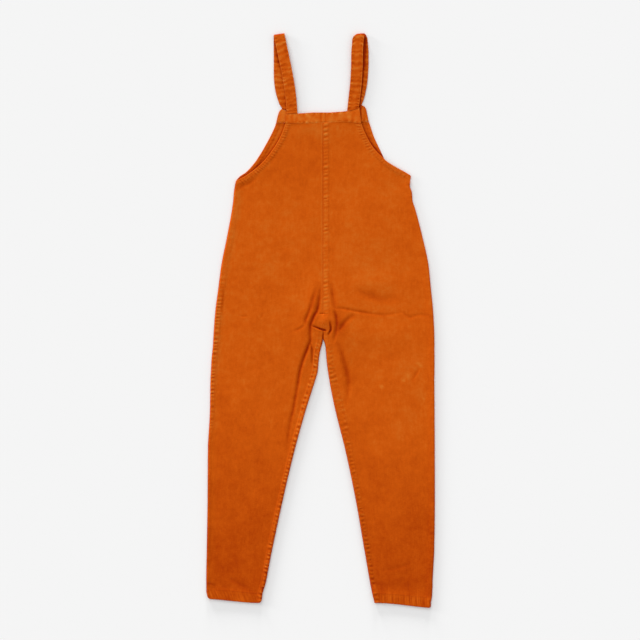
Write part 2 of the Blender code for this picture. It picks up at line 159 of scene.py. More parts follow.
def lit(wave: Array, light: float, dark: float | Array) -> Array:
    """Scale ripples, their crests by one gain and their troughs by another."""
    return light * np.maximum(wave, 0) + dark * np.minimum(wave, 0)


def at_least(value: Array, least: Array, blend: float) -> Array:
    """Keep values above a floor, with a soft turn onto it."""
    over = value - least
    return least + 0.5 * (over + np.sqrt(over * over + blend * blend))


def rounded(distance: Array, radius: float) -> Array:
    """Tell how far a rounded edge falls away at a distance from its end."""
    short = np.clip(1.0 - distance / radius, 0.0, 1.0)
    return radius * (1.0 - np.sqrt(1.0 - short * short))


def lengths(path: Array) -> Array:
    """Give the distance along a line of points up to each of them."""
    return np.concatenate([[0.0], np.cumsum(np.hypot(*np.diff(path[:, :2], axis=0).T))])


def nearest(path: Array, x: Array, y: Array) -> tuple[Array, Array, Array]:
    """Find each place's nearest point on a line.

    Args:
        path: the line's points, with x and y first in each row.
        x: places in plan.
        y: places in plan.

    Returns:
        The distance to the line, the distance along it to the nearest point, and 1 for a
        place on the right of the way along it or -1 on the left.
    """
    away, along, hand = np.full(x.shape, np.inf), np.zeros(x.shape), np.ones(x.shape)
    for start, end, before in zip(path, path[1:], lengths(path)):
        dx, dy = end[0] - start[0], end[1] - start[1]
        t = np.clip(((x - start[0]) * dx + (y - start[1]) * dy) / (dx * dx + dy * dy), 0.0, 1.0)
        off_x, off_y = x - start[0] - t * dx, y - start[1] - t * dy
        far = np.hypot(off_x, off_y)
        closer = far < away
        away = np.where(closer, far, away)
        along = np.where(closer, before + t * math.hypot(dx, dy), along)
        hand = np.where(closer, np.sign(dy * off_x - dx * off_y), hand)
    return away, along, hand


@dataclass(frozen=True)
class Ripple:
    """Uneven ripples along a line, as sewing draws in washed cloth."""

    period: float
    seed: int
    reach: float = 1700.0
    spacing: tuple[float, float] = (0.6, 1.4)
    swing: tuple[float, float] = (0.25, 1.0)

    def at(self, along: Array) -> Array:
        """Read the ripples, between -1 and 1, at distances along the line.

        Args:
            along: distances along the line.

        Returns:
            The ripples' height.
        """
        chance = np.random.default_rng(self.seed)
        count = int(2 * self.reach / self.period)
        crests = np.cumsum(self.period * chance.uniform(*self.spacing, count)) - self.reach
        swings = chance.uniform(*self.swing, count)
        turns = np.interp(along, crests, np.arange(count))
        return np.interp(along, crests, swings) * np.cos(2 * math.pi * turns)


@dataclass(frozen=True)
class Crumple:
    """Soft random unevenness: heights on a lattice, joined smoothly."""

    across: float
    along: float
    seed: int
    cells: int = 96

    def at(self, x: Array, y: Array) -> Array:
        """Read the unevenness, between -1 and 1, at places in plan.

        Args:
            x: places in plan.
            y: places in plan.

        Returns:
            The unevenness there.
        """
        lattice = np.random.default_rng(self.seed).uniform(-1.0, 1.0, (self.cells, self.cells))
        u, v = x / self.across, y / self.along
        column, row = np.floor(u).astype(int), np.floor(v).astype(int)
        s, t = u - column, v - row
        s, t = (w ** 3 * (w * (w * 6 - 15) + 10) for w in (s, t))
        corners = [lattice[(row + dy) % self.cells, (column + dx) % self.cells]
                   for dy in (0, 1) for dx in (0, 1)]
        low = corners[0] * (1 - s) + corners[1] * s
        high = corners[2] * (1 - s) + corners[3] * s
        return low * (1 - t) + high * t


class Knot(NamedTuple):
    """A point that a crease runs through."""

    x: float
    y: float
    depth: float


@dataclass(frozen=True)
class Crease:
    """A trough in the cloth along a line, with a raised lip on one side of it.

    A positive lip stands on the right of the way from the first knot to the last.
    """

    half: float
    lip: float
    knots: tuple[Knot, ...]
    lip_offset: float = 1.7
    lip_half: float = 0.9
    reach: float = 5.0
    step: float = 5.0

    def path(self) -> Array:
        """Lay a smooth line through the knots, as rows of x, y and depth.

        Returns:
            One row for each point of the line.
        """
        knots = np.array(self.knots, float)
        along = lengths(knots)
        at = np.linspace(0.0, along[-1], max(2, round(along[-1] / self.step)) + 1)
        return np.column_stack([smooth(along, knots[:, i], at) for i in range(3)])

    def relief(self, x: Array, y: Array) -> tuple[Array, Array]:
        """Shape the crease.

        Args:
            x: places in plan.
            y: places in plan.

        Returns:
            The height that it adds, and how deep in its trough each place is.
        """
        path = self.path()
        height, trough = np.zeros_like(x), np.zeros_like(x)
        reach = self.reach * self.half
        low, high = path[:, :2].min(axis=0) - reach, path[:, :2].max(axis=0) + reach
        near = (x > low[0]) & (x < high[0]) & (y > low[1]) & (y < high[1])
        away, along, hand = nearest(path, x[near], y[near])
        depth = np.interp(along, lengths(path), path[:, 2])
        here = depth * bell(away, 0.0, self.half)
        side = hand * np.sign(self.lip) * away / self.half
        lip = abs(self.lip) * depth * bell(side, self.lip_offset, self.lip_half)
        height[near] = lip - here
        trough[near] = here
        return height, trough


# ---- The cut --------------------------------------------------------------------------
class Armhole(NamedTuple):
    """X of the four armhole edges at a height."""

    height: float
    left_back: float
    left_front: float
    right_front: float
    right_back: float


class Section(NamedTuple):
    """X of the side seams and of the inner edges at a height."""

    height: float
    left_side: float
    left_inner: float
    right_inner: float
    right_side: float


class Hem(NamedTuple):
    """A leg's end, how much lower it is cut at each seam, its corners' radii and its twist."""

    end: float
    side_drop: float
    inner_drop: float
    side_corner: float
    inner_corner: float
    twist: float


class Fell(NamedTuple):
    """The felled strips beside a panel's edges: how far they stand up and how puckered.

    The dimples of the inner strip are deepest at the dot's distance from the edge.
    """

    height: float
    side_width: float
    side_rise: float
    side_pucker: float
    inner_width: float
    inner_rise: float
    inner_pucker: float
    inner_dot: float


class BandEdge(NamedTuple):
    """Top and bottom edges of a band at a place across the garment."""

    x: float
    top: float
    bottom: float


class Swell(NamedTuple):
    """A soft swelling of the cloth."""

    x: float
    y: float
    spread_x: float
    spread_y: float
    rise: float

    def at(self, x: Array, y: Array) -> Array:
        """Read how much it adds at places in plan."""
        return self.rise * bell(x, self.x, self.spread_x) * bell(y, self.y, self.spread_y)


class Line(NamedTuple):
    """A soft line: where it lies along some measure, its half width and its strength."""

    middle: float
    half: float
    strength: float = 1.0

    def at(self, value: Array) -> Array:
        """Read the line."""
        return self.strength * bell(value, self.middle, self.half)


def ruled(lines: Sequence[Line], value: Array) -> Array:
    """Add up soft lines."""
    return sum(line.at(value) for line in lines)


class Zone(NamedTuple):
    """A stretch of a panel with an even step between its rows."""

    top: float
    bottom: float
    step: float


@dataclass(frozen=True)
class Cloth:
    """Thicknesses and small radii that all pieces share."""

    ply: float = 1.5
    gap: float = 0.3
    roll: float = 2.8
    band: float = 3.0
    band_lift: float = 3.4
    laid: float = 4.6
    fold_edge: float = 1.2
    hem_depth: float = 26.0
    hem_rise: float = 0.45
    armhole_hem: float = 11.0
    armhole_rise: float = 0.7
    fell_step: float = 1.5
    tuck: float = 0.9

    @property
    def turned(self) -> tuple[float, float]:
        """Distances from a leg's end over which the turned-up hem steps down."""
        return self.hem_depth - self.fell_step, self.hem_depth + self.fell_step

    @property
    def edge(self) -> float:
        """Height of the top of the rolls along the seams."""
        return 2 * self.roll + self.gap


@dataclass(frozen=True)
class Pattern:
    """The outline of the cut: armholes, seams, hems and bands."""

    cloth: Cloth = Cloth()
    armpit: float = 357.8
    side_roll: float = 22.0
    inseam_top: float = -20.0
    inseam_roll: float = 30.0
    hem_fade: float = 90.0
    band_line: float = 504.0
    band_fade: float = 50.0
    slant: tuple[float, float] = (-0.1, 0.95)
    armholes: tuple[Armhole, ...] = named(Armhole, (
        (510, -89, -112.5, 122, 103), (500.6, -91.3, -114.8, 125.7, 105.3),
        (470, -102.4, -128.5, 135.9, 118), (449.6, -113.7, -139.5, 145.3, 129.3),
        (429.2, -127.8, -151.2, 155, 145.6), (416.4, -137.5, -159.3, 161, 159.2),
        (408.8, -143.8, -164.2, 165, 166.5), (388.4, -165.6, -180.8, 191.5, 198.9),
        (378.2, -179.3, -191.4, 210, 217.5), (368, -194.5, -206.6, 225.5, 230.3),
        (357.8, -215.7, -215.7, 228.7, 228.7),
    ))
    sections: tuple[Section, ...] = named(Section, (
        (357.8, -215.7, 6.1, 6.1, 228.7), (345, -218.6, 6.1, 6.1, 227.6),
        (327, -221.3, 6.1, 6.1, 233), (306.8, -223, 6.1, 6.1, 234.6),
        (286.4, -225.7, 6.1, 6.1, 241), (204.8, -240.7, 6.1, 6.1, 262.1),
        (143.6, -253, 6.1, 6.1, 275.1), (82.4, -261.1, 6.1, 6.1, 281.5),
        (21.2, -269, 6.1, 6.1, 287.4), (-45, -273.8, 6.1, 6.4, 290.4),
        (-60.4, -274.6, 3.6, 11.4, 290.5), (-75.7, -275.9, -0.8, 13.3, 290.5),
        (-101.2, -278.5, -4.8, 15.3, 290.7), (-126.7, -279.7, -6.9, 18.4, 290.6),
        (-152.2, -281, -13.8, 22.5, 290.2), (-177.7, -281.5, -21.9, 27, 290.4),
        (-228.7, -282.3, -38, 37.7, 290.7), (-330.7, -287.6, -66.3, 63.2, 291.2),
        (-458.2, -288.4, -96.6, 89.8, 291.5), (-585.7, -290.4, -123.9, 111.9, 289.9),
        (-662.2, -291.7, -139.5, 125.2, 285.9), (-690, -291.4, -148.4, 130.5, 285.4),
        (-702, -290.6, -149.2, 132.9, 284.3), (-708, -289.8, -149.8, 134.5, 283.4),
        (-720, -289, -153, 137, 281.5),
    ))
    left_hem: Hem = Hem(-709.2, 0.0, 10.6, 10.0, 9.0, 0.4)
    right_hem: Hem = Hem(-720.0, 12.5, 0.0, 5.0, 1.6, 0.0)
    left_fells: tuple[Fell, ...] = named(Fell, (
        (510, 11, 0, 0, 14, 0, 0, 9), (358, 11, 0, 0, 14, 0, 0, 9),
        (340, 13, 0.1, 0.1, 14, 0, 0, 9), (120, 16, 0.2, 0.2, 14, 0, 0, 9),
        (80, 16, 0.4, 0.5, 14, 0, 0, 9), (45, 15, 0.5, 1.3, 14, 0, 0, 9),
        (-30, 14, 0.5, 1.5, 14, 0.1, 0.3, 12), (-60, 13, 0.4, 1.5, 14, 0.5, 1.3, 11),
        (-105, 12, 0.4, 1.5, 13, 0.5, 1.4, 7.5), (-185, 11, 0.4, 1.5, 14, 0.5, 1.4, 11.5),
        (-240, 10, 0.3, 1.3, 12, 0.5, 1.6, 7.5), (-320, 9, 0.2, 0.5, 12, 0.5, 1.6, 4.6),
        (-540, 9, 0.1, 0.1, 12, 0.5, 1.7, 4), (-720, 9, 0.1, 0.2, 12, 0.4, 1.6, 4),
    ))
    right_fells: tuple[Fell, ...] = named(Fell, (
        (510, 11, 0, 0, 14, 0.4, 0.8, 8), (358, 11, 0, 0, 14, 0.4, 0.9, 8),
        (340, 12, 0.1, 0.1, 14, 0.4, 0.9, 8), (260, 12, 0.2, 0.1, 14, 0.35, 0.75, 8),
        (120, 12, 0.2, 0.1, 14, 0.3, 0.55, 8), (18, 12, 0.2, 0.1, 14, 0.3, 0.6, 8),
        (8, 12, 0.2, 0.1, 14, 0.2, 0.1, 8), (-30, 12, 0.2, 0.1, 13, 0.4, 0.3, 9),
        (-60, 12, 0.2, 0.1, 14, 0.5, 0.8, 11), (-120, 12, 0.2, 0.15, 16, 0.4, 0.9, 13),
        (-240, 12, 0.2, 0.15, 23, 0.4, 1, 19), (-300, 12, 0.2, 0.15, 20, 0.5, 1.1, 14),
        (-400, 12, 0.2, 0.15, 15, 0.6, 1.2, 9), (-720, 12, 0.3, 0.2, 12, 0.5, 1.2, 9),
    ))
    back_band: tuple[BandEdge, ...] = named(BandEdge, (
        (-90, 508.5, 502.2), (-88.4, 527.8, 502.3), (-57.6, 528.6, 502.6), (-20, 531.2, 503),
        (24, 531.2, 505), (58, 533.6, 507), (80, 536.5, 505), (98.4, 542.2, 502.5),
        (100.8, 530.5, 502.3), (103.6, 507.5, 502.2),
    ))
    front_band: tuple[BandEdge, ...] = named(BandEdge, (
        (-113, 508, 504.6), (-109.8, 521, 504.7), (-106.5, 532.2, 504.7), (-103.5, 536.8, 504.8),
        (-98.5, 540.6, 504.8), (-68, 529, 505.2), (-40, 526, 505.6), (0, 525, 506.1),
        (50, 527, 506.8), (72, 532.5, 507), (105.6, 549.9, 507.3), (111, 547.5, 507.4),
        (115.6, 541.8, 507.4), (118, 532.5, 507.5), (121.4, 515, 507.5), (122.6, 510.5, 507.5),
    ))

    def hem(self, side: Side) -> Hem:
        """Give a leg's hem."""
        return self.left_hem if side is Side.LEFT else self.right_hem

    def fell(self, side: Side, name: str, y: Array) -> Array:
        """Read a column of a side's felled strips at heights."""
        return read(self.left_fells if side is Side.LEFT else self.right_fells, name, y)

    def band(self, layer: Layer) -> tuple[BandEdge, ...]:
        """Give a layer's band."""
        return self.back_band if layer is Layer.BACK else self.front_band

    def side_edge(self, side: Side, layer: Layer, y: Array) -> Array:
        """Read X of a panel's outer edge: armhole above the armpit, side seam below.

        Args:
            side: the half of the garment.
            layer: the panel's layer.
            y: heights.

        Returns:
            X at each height.
        """
        hole = read(self.armholes, f"{side.name.lower()}_{layer.value}", y)
        seam = read(self.sections, f"{side.name.lower()}_side", y)
        return np.where(y > self.armpit, hole, seam)

    def inner_edge(self, side: Side, y: Array) -> Array:
        """Read X of a panel's inner edge: centre seam above the crotch, inseam below."""
        return read(self.sections, f"{side.name.lower()}_inner", np.minimum(y, self.armpit))

    def slanted(self, side: Side, layer: Layer, x: Array, y: Array) -> Array:
        """Move rows so that the first and last follow the band and the hem.

        Args:
            side: the half of the garment.
            layer: the panel's layer, which says which band it meets.
            x: places across.
            y: heights of the rows before they are slanted.

        Returns:
            The heights of the places.
        """
        hem = self.hem(side)
        near_hem = 1.0 - ease(y, hem.end, hem.end + self.hem_fade)
        outer = self.side_edge(side, Layer.BACK, np.array(hem.end))
        inner = self.inner_edge(side, np.array(hem.end))
        across = ease((x - outer) / (inner - outer), *self.slant)
        drop = hem.side_drop + (hem.inner_drop - hem.side_drop) * across
        meet = self.cloth.tuck if layer is Layer.BACK else -self.cloth.gap
        seam_line = straight(self.band(layer), "bottom", x) + meet
        near_band = ease(y, self.band_line - self.band_fade, self.band_line)
        return y - drop * near_hem + (seam_line - self.band_line) * near_band

    def grain(self, side: Side, x: Array, y: Array) -> Array:
        """Give places on the flat cut in metres: across the wales and along them.

        Args:
            side: the half of the garment.
            x: places in plan.
            y: places in plan.

        Returns:
            Two metres for each place.
        """
        low = np.minimum(y, 0.0)
        middle = (self.side_edge(side, Layer.BACK, low) + self.inner_edge(side, low)) / 2
        zero = np.array(0.0)
        start = (self.side_edge(side, Layer.BACK, zero) + self.inner_edge(side, zero)) / 2
        return stacked(x - middle + start, y) * MM


# ---- Folds, creases and crumples ------------------------------------------------------
@dataclass(frozen=True)
class Relief:
    """How the cloth of the back swells, folds and creases where it lies."""

    swells: tuple[Swell, ...] = named(Swell, (
        (10, 10, 95, 85, 3.4), (10.5, 0, 14.5, 17, 3), (-18, 45, 14, 45, 1.6),
        (-45, -60, 22, 70, 1.8), (52, -70, 24, 80, 1.4), (151, 95, 70, 26, 0.9),
        (160, -35, 110, 34, 1.1), (-130, 150, 70, 120, 0.9), (120, 240, 90, 90, 0.9),
        (-200, -300, 55, 160, 0.8), (190, -330, 60, 170, 0.8), (0, 505, 150, 36, 1.3),
        (-150, 395, 34, 34, 0.8), (170, 395, 34, 34, 0.6),
    ))
    creases: tuple[Crease, ...] = tuple(Crease(*shape, named(Knot, knots)) for *shape, knots in (
        # The left leg's long crease, from beside the centre seam down to the knee.
        (4.2, -0.15, ((-0.5, 92, 0), (-2, 73.4, 0.7), (-3.3, 57.6, 1.2), (-6.1, 39.5, 1.7),
          (-9.4, 25.8, 2.2), (-16.3, 14.5, 2.4), (-21.9, 1, 2.4), (-26.5, -12.8, 2.1),
          (-27, -30.9, 1.8), (-26.5, -49, 1.8), (-31.1, -62.5, 2.1), (-37.7, -80.6, 2.3),
          (-41.3, -89.8, 2.1), (-52.5, -125.5, 2), (-60.2, -171.4, 1.8), (-71.9, -233, 1.6),
          (-77.8, -258, 1), (-84, -304, 0.6), (-88, -340, 0))),
        # Its shorter neighbours.
        (4.4, -0.15, ((-8.4, 92, 0), (-14, 73.4, 0.6), (-18.6, 59.9, 0.9), (-24.2, 43.9, 1.1),
          (-29.8, 23.5, 1.5), (-35.4, 9.9, 1.7), (-38.8, 1, 1.3), (-42, -10.7, 0))),
        (3.0, 0.2, ((-38, -6, 0.2), (-49.2, -17.3, 0.8), (-62.7, -24, 0.5), (-70, -27, 0))),
        (2.4, 0.3, ((-26.5, -50, 0.3), (-25.2, -58.1, 1.3), (-21.9, -74, 1.8), (-22.4, -87.2, 1.8),
          (-22, -105, 1.1), (-18, -118, 0))),
        # Slots round the tuck where the four panels meet.
        (2.3, 0.2, ((-24, -12.5, 0.3), (-14, -15.2, 2.2), (-6.1, -18.4, 3.4), (4.8, -22.6, 5.4),
          (11, -23.8, 4.6), (16, -24.5, 0.6))),
        (2.0, 0.25, ((23.5, 0, 0.2), (24.6, -9.2, 3), (25.8, -21.7, 4.2), (21.2, -30.9, 2.6),
          (17.5, -38, 0))),
        (1.6, 0.2, ((-5, 17.6, 0.5), (6, 18.4, 1.4), (18, 17.4, 0.6))),
        (1.7, 0.0, ((7.4, -27, 0.6), (6.6, -33.2, 2.4), (5, -48, 2.4), (1, -64, 1.4),
          (-3, -80, 0))),
        # Round the right of the tuck.
        (4.4, -0.05, ((33, 30, 0), (36.2, 21.4, 1.3), (40.3, 7.7, 1.8), (40.8, -8.2, 1.8),
          (39.3, -21.7, 1.6), (34.7, -44.4, 1), (29, -58, 0))),
        (6.0, 0.15, ((90, 17, 0), (84.7, 14.5, 0.6), (62.2, -3, 1.2), (54.1, -13.8, 1.35),
          (47, -24, 0.5))),
        (5.0, 0.1, ((26, 98, 0), (30.5, 66, 1.5), (35, 34, 0.7))),
        # Across the top of the right thigh.
        (3.7, 0.0, ((36, 31.6, 0.2), (49.5, 31.9, 0.6), (64.3, 30.1, 0.85), (90.3, 24.7, 0.85),
          (113, 21.2, 0.7), (139.7, 16.8, 0.55), (166, 15.5, 0.4), (194, 18.8, 0.3),
          (209, 22.4, 0.3), (216, 16, 0.55), (229.8, 8.9, 0.55), (243, 14, 0.5), (256, 15.8, 0.5),
          (288, 12.2, 0.2))),
        (11.0, 0.0, ((84, 82, 0), (104, 72, 0.6), (134, 62, 0.8), (166, 56, 0.7), (204, 54, 0))),
        (7.0, -0.15, ((42, -52, 0.3), (51.8, -76, 0.9), (58.9, -103, 1.3), (66, -128, 1.5),
          (70, -155.6, 1.3), (67, -190, 0.7), (58.4, -226, 0))),
        # Under the left armhole.
        (5.0, -0.2, ((-216, 338, 0.9), (-196, 347, 1), (-176, 356, 0.6), (-156, 372, 0))),
        (3.0, -0.2, ((-246, 96, 0), (-249.5, 70, 1.2), (-251.5, 44, 0.9), (-253, 20, 0))),
        (2.6, 0.3, ((-206, 13, 0), (-197, 11, 0.5), (-186, 13, 0))),
        (3.5, -0.2, ((254, -116, 0), (243, -135, 0.8), (231, -156, 0))),
        (2.6, 0.3, ((-145, 25, 0), (-149, 15, 0.5), (-154, 5, 0))),
        # Above the hems.
        (5.5, 0.2, ((-236, -652, 0), (-226, -658.6, 0.45), (-205, -668, 0.45), (-184, -677.5, 0.4),
          (-164, -683.5, 0.1))),
        (7.0, 0.0, ((-286, -590, 0.1), (-268, -610, 0.3), (-254, -630, 0.3), (-238, -648, 0))),
        (3.4, 0.2, ((-291, -668, 1), (-276, -671, 0.9), (-262, -680, 0))),
        (4.6, 0.3, ((152, -640, 0), (166, -636, 0.3), (190, -631, 0.3), (221, -623, 0.2),
          (232, -620, 0))),
    ))
    # Patches of fading; the two dark patches right of the tuck, at (52, -27) and (48, -5), are
    # painted shadow.
    patches: tuple[Swell, ...] = named(Swell, (
        (-20, 405, 110, 55, -0.1), (124, 130, 62, 120, 0.11), (240, -250, 50, 150, 0.12),
        (-120, 240, 90, 60, 0.04), (-252, -620, 40, 32, -0.05), (-190, -610, 36, 26, -0.03),
        (240, -650, 60, 34, -0.05), (160, -560, 90, 190, 0.06), (52, -27, 19, 23, -0.3),
        (-262, -220, 40, 140, -0.07), (120, -165, 60, 30, -0.06), (160, -325, 55, 35, 0.1),
        (140, -555, 22, 40, 0.1), (275, -490, 22, 35, 0.07), (185, -668, 80, 18, -0.13),
        (262, 165, 20, 60, 0.1), (-75, 258, 30, 16, -0.08), (0, 486, 110, 16, 0.12),
        (156, -682, 18, 14, -0.2), (-202, -702, 17, 9, 0.14), (-233, -703, 9, 8, -0.12),
        (-14, 50, 13, 30, -0.25), (48, -5, 9, 17, -0.3), (250, -109, 8, 4, 0.32),
        (256, -116, 4, 3, 0.4), (221, -137, 4, 6, 0.2), (213, -153, 4, 3, 0.45),
        (156, -168, 6, 5, 0.4), (263, -199, 3.5, 3.5, 0.35),
    ))
    crumples: tuple[tuple[float, Crumple], ...] = (
        (0.4, Crumple(96.0, 130.0, 11)),
        (0.21, Crumple(34.0, 52.0, 12)),
        (0.12, Crumple(13.0, 19.0, 13)),
    )
    flecks: tuple[float, Crumple] = (0.07, Crumple(22.0, 12.0, 14))

    def at(self, x: Array, y: Array) -> tuple[Array, Array]:
        """Read the relief.

        Args:
            x: places in plan.
            y: places in plan.

        Returns:
            The height that it adds, and how deep in a trough each place is.
        """
        height, trough = np.zeros_like(x), np.zeros_like(x)
        for swell in self.swells:
            height += swell.at(x, y)
        for amount, crumple in self.crumples:
            height += amount * crumple.at(x, y)
        for crease in self.creases:
            rise, depth = crease.relief(x, y)
            height += rise
            trough = np.maximum(trough, depth)
        return height, trough

    def wear_and_shadow(self, x: Array, y: Array) -> Array:
        """Read how light the cloth is: faded patches, flecks and the painted shadow right of the
        tuck.
        """
        amount, fleck = self.flecks
        return sum(patch.at(x, y) for patch in self.patches) + amount * fleck.at(x, y)


# ---- Making meshes --------------------------------------------------------------------
class Place(NamedTuple):
    """Where cloth lies: its outer face and the wall behind it, and how light each is painted."""

    outer: Array
    wall: Array
    tone: Array
    wall_tone: Array


class Sewn(NamedTuple):
    """What a hem or a seam adds to the cloth: its height, and how light it is painted."""

    ply: Array
    tone: Array


class Row(NamedTuple):
    """A row of stitches beside an edge; a negative offset is from the end of its felled strip."""

    edge: Edge
    offset: float
    top: float
    bottom: float


def show(name: str, data: bpy.types.ID) -> bpy.types.Object:
    """Make an object of some data and link it to the scene.

    Args:
        name: the object's name.
        data: its mesh, light or camera.

    Returns:
        The object.
    """
    thing = bpy.data.objects.new(name, data)
    bpy.context.scene.collection.objects.link(thing)
    return thing


@dataclass(frozen=True)
class Weaver:
    """Turns grids of points into closed meshes with their tone and grain."""

    sharp: float = 50.0

    def mesh(self, name: str, points: Array, faces: Array, tone: Array,
             grain: Array) -> bpy.types.Object:
        """Make an object from points and four-sided faces.

        Args:
            name: the object's name.
            points: one row for each point, in millimetres.
            faces: one row of four point numbers for each face.
            tone: how light each point is painted, from -1 to 1: fading, painted shade and light.
            grain: each point's place on the flat cut, in metres.

        Returns:
            The object, linked to the scene, with outward faces.
        """
        a, b, c, d = (points[faces[:, i]] for i in range(4))
        volume = np.einsum("ij,ij->i", a, np.cross(b, c) + np.cross(c, d)).sum()
        if volume < 0:
            faces = faces[:, ::-1]
        mesh = bpy.data.meshes.new(name)
        mesh.vertices.add(len(points))
        mesh.vertices.foreach_set("co", (points * MM).astype(np.float32).ravel())
        mesh.loops.add(faces.size)
        mesh.loops.foreach_set("vertex_index", faces.astype(np.int32).ravel())
        mesh.polygons.add(len(faces))
        mesh.polygons.foreach_set("loop_start", np.arange(0, faces.size, 4, dtype=np.int32))
        mesh.update(calc_edges=True)
        # The tone attribute holds fading and also painted shade and light.
        tone_layer = mesh.attributes.new("tone", "FLOAT", "POINT")
        tone_layer.data.foreach_set("value", tone.astype(np.float32))
        chart = mesh.uv_layers.new(name="grain")
        chart.data.foreach_set("uv", grain[faces.ravel()].astype(np.float32).ravel())
        mesh.shade_smooth()
        mesh.set_sharp_from_angle(angle=math.radians(self.sharp))
        return show(name, mesh)

    def shell(self, name: str, place: Place, grain: Array) -> bpy.types.Object:
        """Close a panel: its outer grid, its wall grid and the rim between them.

        Args:
            name: the object's name.
            place: where the cloth lies, in rows and columns.
            grain: each point's place on the flat cut, in metres.

        Returns:
            The panel's object.
        """
        rows, columns = place.tone.shape
        count = rows * columns
        index = np.arange(count).reshape(rows, columns)
        quads = stacked(index[:-1, :-1], index[1:, :-1], index[1:, 1:], index[:-1, 1:])
        faces = [quads.reshape(-1, 4), quads.reshape(-1, 4)[:, ::-1] + count]
        for line in (index[:, 0], index[-1, :], index[::-1, -1], index[0, ::-1]):
            faces.append(stacked(line[:-1], line[:-1] + count, line[1:] + count, line[1:]))
        points = np.concatenate([place.outer.reshape(-1, 3), place.wall.reshape(-1, 3)])
        tone = np.concatenate([place.tone.ravel(), place.wall_tone.ravel()])
        chart = np.concatenate([grain.reshape(-1, 2), grain.reshape(-1, 2)])
        return self.mesh(name, points, np.concatenate(faces), tone, chart)

    def tube(self, name: str, rings: Array, tone: Array, grain: Array) -> bpy.types.Object:
        """Close a ribbon: rings of points in order along it, with an even number in each.

        Args:
            name: the object's name.
            rings: one row of points for each ring.
            tone: how light each point is painted: fading, painted shade and light.
            grain: each point's place on the flat cut, in metres.

        Returns:
            The ribbon's object.
        """
        count, around = tone.shape
        index = np.arange(count * around).reshape(count, around)
        ahead = np.roll(index, -1, axis=1)
        quads = stacked(index[:-1], ahead[:-1], ahead[1:], index[1:])
        faces = [quads.reshape(-1, 4)]
        half = np.arange(around // 2 - 1)
        for ring, flip in ((index[0], -1), (index[-1], 1)):
            far = ring[::-1]
            faces.append(stacked(ring[half], ring[half + 1], far[half + 1], far[half])[:, ::flip])
        return self.mesh(name, rings.reshape(-1, 3), np.concatenate(faces), tone.ravel(),
                         grain.reshape(-1, 2))


# ---- Panels ---------------------------------------------------------------------------
class Gather(NamedTuple):
    """How a seam's puckers lean, which ones it has, and how light their crests and dark their
    troughs are.
    """

    skew: float
    seed: int
    shift: float
    light: float
    dark: float
    glow: float


class Gap(NamedTuple):
    """The shadow beneath a back armhole's edge: its strength, its reach and where it widens."""

    strength: float
    reach: float
    widening: Line

    def at(self, away: Array, y: Array) -> Array:
        """Read the shadow at distances from the edge and heights."""
        return self.strength * bell(away, 0.0, self.reach + self.widening.at(y))


@dataclass(frozen=True)
class Shading:
    """Tone of the panels: fading, darker towards the hems, painted shade and painted light."""

    shin: float = 0.43
    shin_heights: tuple[float, float] = (120.0, 640.0)
    # Painted shade on the rolled edges, more on those that face the lamps.
    roll: float = 0.55
    roll_side: float = 0.2
    # Painted shade in the troughs of the creases.
    trough: float = 0.42
    # Painted light on the left side strips and painted shade on the right ones, against how the
    # lamps light their slopes.
    facing: Line = Line(13.0, 9.0, 0.12)
    # Painted shade along the hem's folded lower edge.
    hem_edge: Line = Line(0.0, 1.2, -0.2)
    centre_edge: Line = Line(0.0, 1.4, -0.3)
    centre_heights: tuple[float, float] = (120.0, 320.0)
    hole_light: float = 0.6
    hole_dark: float = 0.65
    # A paler line inside the armhole's edge, partly faded and partly painted highlight, and
    # painted shade on the edge itself.
    hole_edge: tuple[Line, ...] = (Line(1.8, 1.6, 0.12), Line(0.0, 0.7, -0.2))
    hem_light: float = 0.75
    hem_dark: float = 0.6
    hem_glow: float = 0.04
    hem_patch: float = 0.2
    hem_line: float = 0.12
    seam_line: float = 0.04
    seat: float = 0.3
    seat_heights: tuple[float, float] = (150.0, 250.0)
    leg_fade: float = 0.6
    dimple: float = 0.5
    plain_line: Line = Line(3.0, 1.3, 0.3)
    plain_heights: tuple[float, float] = (20.0, 40.0)
    # On the front's wall in the armhole: a darker line by the inner stitches, and painted shade at
    # its edge.
    inside: tuple[Line, ...] = (Line(9.6, 1.9, -0.34), Line(0.0, 1.1, -0.2))
    inside_left: tuple[Line, ...] = (Line(14.0, 2.4, 0.2), Line(3.0, 4.0, -0.12))
    inside_share: float = 0.6
    under_share: float = 0.4
    under_line: float = 0.25
    # Painted shadow that each back armhole edge throws on the front beneath it.
    left_gap: Gap = Gap(1.0, 2.8, Line(388.0, 24.0, 1.6))
    right_gap: Gap = Gap(1.3, 3.4, Line(418.0, 26.0, 1.2))
    gap_fade: float = 0.5
    gap_heights: tuple[float, float] = (440.0, 500.0)


class Grid(NamedTuple):
    """How many points a panel's row has in each stretch, and how far the dense ones reach."""

    strip: int
    side: int
    inner: int
    middle: int
    reach: float


